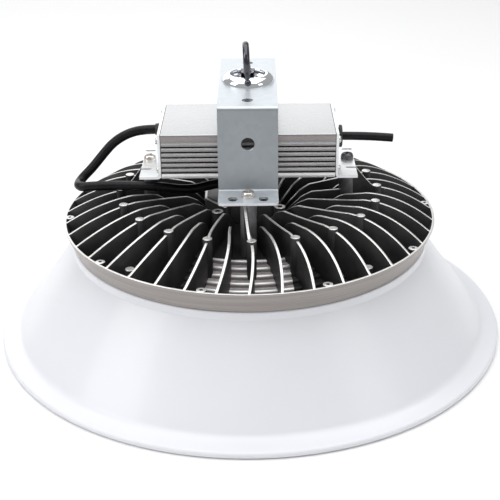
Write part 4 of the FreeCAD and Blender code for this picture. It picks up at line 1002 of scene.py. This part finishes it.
def case_section():
    """Cross-section of the case: ribs with sloping shoulders over narrow grooves on both long faces.
    The uppermost groove is shallow."""
    face = CASE_HALF_DEPTH
    side = [(face, CASE_FOOT, 1.8), (face, CASE_FOOT + CASE_LIP, 0.6)]
    for index in range(GROOVE_COUNT):
        last = index == GROOVE_COUNT - 1
        foot = CASE_FOOT + CASE_LIP + index * GROOVE_PITCH
        bottom = face - (TOP_GROOVE_DEPTH if last else GROOVE_DEPTH)
        side += [(bottom, foot), (bottom, foot + GROOVE_HEIGHT), (face, foot + GROOVE_HEIGHT, 0.1)]
        if not last:
            side += [(face, foot + 2.7, 0.3), (face - 1.0, foot + GROOVE_PITCH)]
    side.append((face, CASE_TOP, 0.9))
    return rounded(side + [(-corner[0], *corner[1:]) for corner in side[::-1]], 5)


def case_shape():
    """Tube along x: the section outside, and inside the same points clipped to the cavity's box."""
    outer, half = case_section(), CASE_HALF_LENGTH
    reach = CASE_HALF_DEPTH - CASE_WALL
    inner = np.stack([np.clip(outer[:, 0], -reach, reach),
                      np.clip(outer[:, 1], CASE_FOOT + CASE_WALL, CASE_TOP - CASE_WALL)], -1)
    loops = [np.column_stack([np.full(len(loop), x), loop])
             for loop, x in ((outer, -half), (outer, half), (inner, half), (inner, -half))]
    return np.concatenate(loops), grid_faces(4, len(outer), closed_rows=True)


# ---------------------------------------------------------------- operators

class HIGHBAY_OT_stage(bpy.types.Operator):
    """Camera, pale floor and soft studio lights"""

    bl_idname = "highbay.stage"
    bl_label = "Stage"
    bl_options = {"REGISTER", "UNDO"}

    def execute(self, context):
        self.camera(context.scene)
        self.floor(context.scene)
        self.studio(context.scene)
        return {"FINISHED"}

    def camera(self, scene):
        """Long lens from the front, a little above the hook."""
        camera = bpy.data.cameras.new("camera")
        camera.lens = CAMERA_LENS
        camera.sensor_width = 36.0
        camera.clip_start = 0.05
        view = bpy.data.objects.new("camera", camera)
        tilt = math.pi / 2 - math.radians(CAMERA_DIP)
        view.matrix_world = (Matrix.Translation(CAMERA_PLACE)
                             @ Matrix.Rotation(CAMERA_BEARING, 4, "Z")
                             @ Matrix.Rotation(tilt, 4, "X")
                             @ Matrix.Rotation(CAMERA_ROLL, 4, "Z"))
        scene.collection.objects.link(view)
        scene.camera = view

    def floor(self, scene):
        """Flat square with a soft pale finish."""
        reach = FLOOR_REACH
        corners = [(x, y, -FLOOR_DROP) for x, y in
                   ((-reach, -reach), (reach, -reach), (reach, reach), (-reach, reach))]
        mesh = bpy.data.meshes.new("floor")
        mesh.from_pydata(corners, [], [(0, 1, 2, 3)])
        mesh.materials.append(grained("pale_floor", (0.92, 0.92, 0.925), (0.90, 0.90, 0.905), 0.65,
                                      spacing=(0.02,) * 3, depth=1e-5, size=0.4))
        floor = bpy.data.objects.new("floor", mesh)
        scene.collection.objects.link(floor)

    def studio(self, scene):
        """Even white surroundings, and square lamps aimed at the middle of the light. The backdrop
        lamp shows in reflections alone."""
        world = bpy.data.worlds.new("studio")
        world.use_nodes = True
        sky = world.node_tree.nodes["Background"]
        sky.inputs["Color"].default_value = (1.0, 1.0, 1.0, 1)
        sky.inputs["Strength"].default_value = SKY_STRENGTH
        scene.world = world
        scene.view_settings.view_transform = "Standard"
        for name, place, reach, power in STUDIO_LIGHTS:
            lamp = bpy.data.lights.new(name, "AREA")
            lamp.shape = "RECTANGLE"
            lamp.size, lamp.size_y = reach
            lamp.energy = power
            made = bpy.data.objects.new(name, lamp)
            aim = Vector((0, 0, 0.1)) - Vector(place)
            made.matrix_world = (Matrix.Translation(place)
                                 @ aim.to_track_quat("-Z", "Y").to_matrix().to_4x4())
            made.visible_diffuse = name != "backdrop"
            scene.collection.objects.link(made)


class HIGHBAY_OT_cables(bpy.types.Operator):
    """The supply lead and the lead from the driver to the heat sink"""

    bl_idname = "highbay.cables"
    bl_label = "Cables"
    bl_options = {"REGISTER", "UNDO"}

    def execute(self, context):
        rubber = jacket(colours())
        for name, route, real, thick, end in (
                ("supply_cable", SUPPLY_ROUTE, 0.0400, sizes().supply_diameter, "bare"),
                ("output_cable", OUTPUT_ROUTE, 0.2166, sizes().output_diameter, "object")):
            made = self.tube(f"{name}_jacket", route, thick)
            made.data.materials.append(rubber)
            context.scene.collection.objects.link(made)
            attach(made, "root")
            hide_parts(name)
        return {"FINISHED"}

    def tube(self, name, route, thick):
        """Round tube with closed ends along a quadratic spline through the route."""
        curve = bpy.data.curves.new(name, "CURVE")
        curve.dimensions = "3D"
        curve.bevel_depth = thick / 2
        curve.bevel_resolution = 6
        curve.use_fill_caps = True
        curve.resolution_u = 16
        line = curve.splines.new("NURBS")
        line.points.add(len(route) - 1)
        line.points.foreach_set("co", np.column_stack([route, np.ones(len(route))]).ravel())
        line.order_u = 3
        line.use_endpoint_u = True
        return bpy.data.objects.new(name, curve)


class HIGHBAY_OT_shade(bpy.types.Operator):
    """The spun shade with its neck, crease, flange and rolled rim"""

    bl_idname = "highbay.shade"
    bl_label = "Shade"
    bl_options = {"REGISTER", "UNDO"}

    def execute(self, context):
        rim = mm(sizes().rim_radius)
        crease, edge, bead = rim - FLANGE_WIDTH, 2 * BEAD, BEAD - 0.1
        neck = SHADE_NECK - SHADE_WALL
        outside = [(SHADE_SEAT, SINK_BASE), (SHADE_NECK, SINK_BASE, 1.2),
                   (SHADE_NECK, SHADE_NECK_FOOT, 1.6), (crease, CREASE_HEIGHT, CREASE_SOFTNESS),
                   (rim - BEAD, edge), (rim, edge, bead), (rim, 0.0, bead), (rim - edge, 0.0, bead)]
        inside = [(rim - edge, 4.05), (crease - 1.0, CREASE_HEIGHT - 1.3, CREASE_SOFTNESS - 1.0),
                  (neck, SHADE_NECK_FOOT - 0.5, 1), (neck, SINK_BASE - SHADE_WALL, 0.5),
                  (SHADE_SEAT, SINK_BASE - SHADE_WALL)]
        piece("spun_shade", revolved(rounded(outside + inside, 7), 300), powder_coat(colours()),
              replaces=["shade"])
        return {"FINISHED"}


class HIGHBAY_OT_heat_sink(bpy.types.Operator):
    """The cast heat sink: base and ring, fins, pins, lugs, posts and cable block"""

    bl_idname = "highbay.heat_sink"
    bl_label = "Heat sink"
    bl_options = {"REGISTER", "UNDO"}

    def execute(self, context):
        coat, stepped = cast_coat(colours()), stepped_coat(colours())
        count = sizes().fin_count
        piece("casting_base", casting_base(), stepped, replaces=["heat_sink"])
        piece("long_fins", around(fin(WELL_RADIUS), count), coat, smooth=50)
        short = fin(SHORT_FIN_START, nose=SHORT_FIN_NOSE)
        piece("short_fins", around(short, count, 180 / count), coat, smooth=50)
        piece("cast_pins", pins(count), coat)
        piece("ring_lugs", lugs(), coat)
        piece("post_ribs", around(post_rib(), 4), coat, smooth=40)
        # Partly painted light: the posts' grey, lighter than the coat, is bare metal that also stands
        # in for the light on their lit side.
        bare = grained("post_metal_painted_light", (0.26, 0.26, 0.27), (0.08, 0.08, 0.08), 0.36, amount=0.5,
                       spacing=(0.001, 0.001, 0.02), size=0.008, Metallic=0.5)
        piece("cast_posts", posts(), bare)
        piece("cable_block", cable_block(), coat)
        box, sheet = hub_cover()
        piece("hub_cover", box, coat)
        dull = grained("cover_sheet", (0.12, 0.12, 0.12), (0.06, 0.06, 0.06), 0.45, amount=0.6,
                       size=0.01, Metallic=0.4)
        piece("hub_cover_sheet", sheet, dull)
        return {"FINISHED"}


class HIGHBAY_OT_light_engine(bpy.types.Operator):
    """The clamp ring, lens, gasket, LED board and chips under the heat sink"""

    bl_idname = "highbay.light_engine"
    bl_label = "Light engine"
    bl_options = {"REGISTER", "UNDO"}

    def execute(self, context):
        black = grained("ring_coat", (0.02, 0.02, 0.022), (0.05, 0.05, 0.05), 0.4,
                        spacing=(0.0009,) * 3, depth=2e-5)
        board = grained("board_mask", (0.80, 0.80, 0.76), (0.72, 0.72, 0.68), 0.35, amount=0.4)
        phosphor = grained("phosphor", (0.83, 0.60, 0.10), (0.75, 0.50, 0.07), 0.3,
                           spacing=(0.0004,) * 3, Coat_Weight=0.6)
        rubber = grained("seal_rubber", (0.06, 0.06, 0.062), (0.10, 0.10, 0.10), 0.6)
        plated = grained("plated_steel", (0.62, 0.60, 0.56), (0.45, 0.42, 0.38), 0.28,
                         spacing=(0.0008,) * 3, amount=0.4, size=0.004, Metallic=0.95)
        dress(black, "bezel_ring")
        dress(clear_cover(), "lens_cover")
        dress(board, "led_board")
        dress(phosphor, "led_chips")
        dress(rubber, "lens_gasket", "end_gasket_right", "end_gasket_left")
        dress(plated, "clamp_screws", "led_board_screws")
        return {"FINISHED"}


class HIGHBAY_OT_bracket(bpy.types.Operator):
    """The folded bracket and its screws"""

    bl_idname = "highbay.bracket"
    bl_label = "Bracket"
    bl_options = {"REGISTER", "UNDO"}

    def execute(self, context):
        self.sheet()
        bright = grained("screw_nickel", (0.80, 0.78, 0.75), (0.60, 0.50, 0.43), 0.2,
                         spacing=(0.0006,) * 3, amount=0.6, size=0.003, Metallic=1.0)
        # Painted shade: a darker copy of the nickel for the right ear screw, on the side away from the
        # key lamp.
        painted_dark = grained("screw_nickel_painted_shade", (0.16, 0.16, 0.165), (0.07, 0.07, 0.07), 0.28,
                       spacing=(0.0006,) * 3, amount=0.6, size=0.003, Metallic=0.9)
        for node, angle, material, slot in (
                ("bracket_screw_front", 0, bright, "screw_steel"),
                ("bracket_screw_rear", 180, bright, "screw_steel"),
                ("ear_screw_right", 90, painted_dark, "screw_dark"),
                ("ear_screw_left", -90, bright, "screw_steel")):
            x, y = spot(POST_CIRCLE, angle)
            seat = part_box(node)[1].z / MM - HEAD_HEIGHT
            head = screw_head(HEAD_RADIUS, HEAD_RISE, SHANK_RADIUS, turn=math.radians(20 + angle))
            piece(f"{node}_head", moved(head, offset=(x, y, seat)), material, replaces=[node])
        return {"FINISHED"}

    def sheet(self):
        """The bracket's sheet, with the bright metal of its cut edges."""
        plan, drills = bracket_cutters()
        strip = prism(bracket_section(), [(-BRACKET_HALF, 1), (BRACKET_HALF, 1)])
        shape = carved("folded_sheet", moved(strip, ALONG_X),
                       [("INTERSECT", plan), ("DIFFERENCE", drills)])
        bracket = piece("folded_bracket", shape, galvanised(colours()),
                        replaces=["hanging_bracket"], smooth=40)
        bracket.data.materials.append(grained(
            "cut_edge", (0.72, 0.74, 0.77), (0.55, 0.56, 0.58), 0.3, spacing=(0.0006,) * 3,
            amount=0.5, size=0.004, Metallic=0.6))
        faces = bracket.data.polygons
        middle, facing = np.empty(len(faces) * 3), np.empty(len(faces) * 3)
        faces.foreach_get("center", middle)
        faces.foreach_get("normal", facing)
        x, y, _ = np.abs(middle.reshape(-1, 3).T)
        outermost = (x > (BRACKET_HALF - 0.4) * MM) | (y > (BRACKET_REACH - 2.1) * MM)
        cut = outermost & (np.abs(facing[2::3]) < 0.5)
        faces.foreach_set("material_index", cut.astype(np.int32))
        soft = bracket.modifiers.new("softened_edges", "BEVEL")
        soft.width, soft.segments, soft.limit_method = 0.00035, 2, "ANGLE"
        soft.angle_limit = math.radians(50)


class HIGHBAY_OT_hook(bpy.types.Operator):
    """The chromed hook with its thread, its dome, washers and nuts"""

    bl_idname = "highbay.hook"
    bl_label = "Hook"
    bl_options = {"REGISTER", "UNDO"}

    def execute(self, context):
        # Painted reflection: the chrome of the rod and nuts is darkened to stand in for the dark
        # surroundings that it mirrors.
        painted_dark = grained("chrome_painted_dark", (0.10, 0.10, 0.115), (0.05, 0.05, 0.055), 0.16,
                       spacing=(0.001,) * 3, amount=0.5, size=0.006, Metallic=1.0)
        chrome = grained("polished_chrome", (0.84, 0.85, 0.88), (0.70, 0.71, 0.74), 0.06,
                         spacing=(0.003,) * 3, spread=0.04, depth=2e-6, amount=0.3, size=0.01,
                         Metallic=1.0)
        piece("hook_rod", hook_shape(), painted_dark, replaces=["hook_bolt"], smooth=60)
        seat = BRACKET_TOP + 0.02
        outer = arc_through((DOME_FOOT, seat), *DOME_OUTSIDE)
        inner = arc_through(*DOME_INSIDE, (DOME_FOOT - 1.6, DOME_FLOOR))
        floor = np.array([(DOME_BORE, DOME_FLOOR), (DOME_BORE, seat)])
        piece("hook_dome", revolved(np.concatenate([outer, inner, floor]), 96), chrome,
              replaces=["hook_cup"], smooth=40)
        dress(chrome, "hook_washer_upper", "hook_washer_lower")
        dress(painted_dark, "hook_nut_upper", "hook_nut_lower")
        return {"FINISHED"}


class HIGHBAY_OT_driver(bpy.types.Operator):
    """The driver's case, end plates, screws, glands and inner parts"""

    bl_idname = "highbay.driver"
    bl_label = "Driver"
    bl_options = {"REGISTER", "UNDO"}

    def execute(self, context):
        piece("ribbed_case", case_shape(), ribbed(colours()),
              replaces=["driver_case"], smooth=35)
        plate = brushed("mill_plate", [c * 1.7 for c in colours().case], 0.34)
        dress(plate, "end_plate_right", "end_plate_left")
        self.glands()
        dress(grained("potting", (0.03, 0.03, 0.033), (0.05, 0.05, 0.05), 0.5), "driver_potting")
        dress(grained("circuit_board", (0.02, 0.12, 0.05), (0.03, 0.16, 0.07), 0.4), "driver_board")
        dress(grained("coil_tape", (0.60, 0.42, 0.05), (0.5, 0.33, 0.04), 0.45), "driver_transformer")
        bright = grained("plate_screw_nickel", (0.70, 0.70, 0.70), (0.4, 0.4, 0.4), 0.22,
                         spacing=(0.0006,) * 3, amount=0.4, size=0.003, Metallic=1.0)
        for side, turn, name in ((1, TO_RIGHT, "right"), (-1, TO_LEFT, "left")):
            heads = [moved(screw_head(*PLATE_HEAD, turn=0.4 * y), turn, (side * PLATE_FACE, y, z))
                     for y in PLATE_SCREWS_Y for z in PLATE_SCREWS_Z]
            piece(f"plate_screw_heads_{name}", joined(heads), bright,
                  replaces=[f"end_plate_screws_{name}"])
        return {"FINISHED"}

    def glands(self):
        """Nylon glands, and on the left end plate a short moulded sleeve."""
        nylon = grained("gland_nylon", (0.012, 0.012, 0.012), (0.03, 0.03, 0.03), 0.45)
        dress(nylon, "supply_gland", "sink_gland")
        ring = np.array([(3.9, 0), (5.5, 0), (5.5, 1.2), (5.0, 2.0), (4.7, 4.6), (4.3, 5.0),
                         (3.9, 5.0)])
        sleeve = moved(revolved(ring, 40), TO_LEFT, (-PLATE_FACE - 1.0, *CABLE_EXIT))
        piece("cable_sleeve", sleeve, nylon, replaces=["output_gland"], smooth=40)


OPERATORS = (HIGHBAY_OT_stage, HIGHBAY_OT_cables, HIGHBAY_OT_shade, HIGHBAY_OT_heat_sink,
             HIGHBAY_OT_light_engine, HIGHBAY_OT_bracket, HIGHBAY_OT_hook, HIGHBAY_OT_driver)


class HIGHBAY_PT_panel(bpy.types.Panel):
    """Lists the operators and the sizes and colours that they use"""

    bl_idname = "HIGHBAY_PT_panel"
    bl_label = "High Bay Light"
    bl_space_type = "VIEW_3D"
    bl_region_type = "UI"
    bl_category = "High Bay"

    def draw(self, context):
        for each in OPERATORS:
            self.layout.operator(each.bl_idname)
        for group in (context.scene.high_bay_sizes, context.scene.high_bay_colours):
            for name in group.__annotations__:
                self.layout.prop(group, name)


CLASSES = (HighBaySizes, HighBayColours) + OPERATORS + (HIGHBAY_PT_panel,)


def register():
    for each in CLASSES:
        bpy.utils.register_class(each)
    bpy.types.Scene.high_bay_sizes = PointerProperty(type=HighBaySizes)
    bpy.types.Scene.high_bay_colours = PointerProperty(type=HighBayColours)


def unregister():
    del bpy.types.Scene.high_bay_colours
    del bpy.types.Scene.high_bay_sizes
    for each in reversed(CLASSES):
        bpy.utils.unregister_class(each)


def main():
    """Registers the add-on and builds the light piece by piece."""
    register()
    bpy.ops.highbay.stage()
    bpy.ops.highbay.cables()
    bpy.ops.highbay.shade()
    bpy.ops.highbay.heat_sink()
    bpy.ops.highbay.light_engine()
    bpy.ops.highbay.bracket()
    bpy.ops.highbay.hook()
    bpy.ops.highbay.driver()


if __name__ == "__main__":
    main()
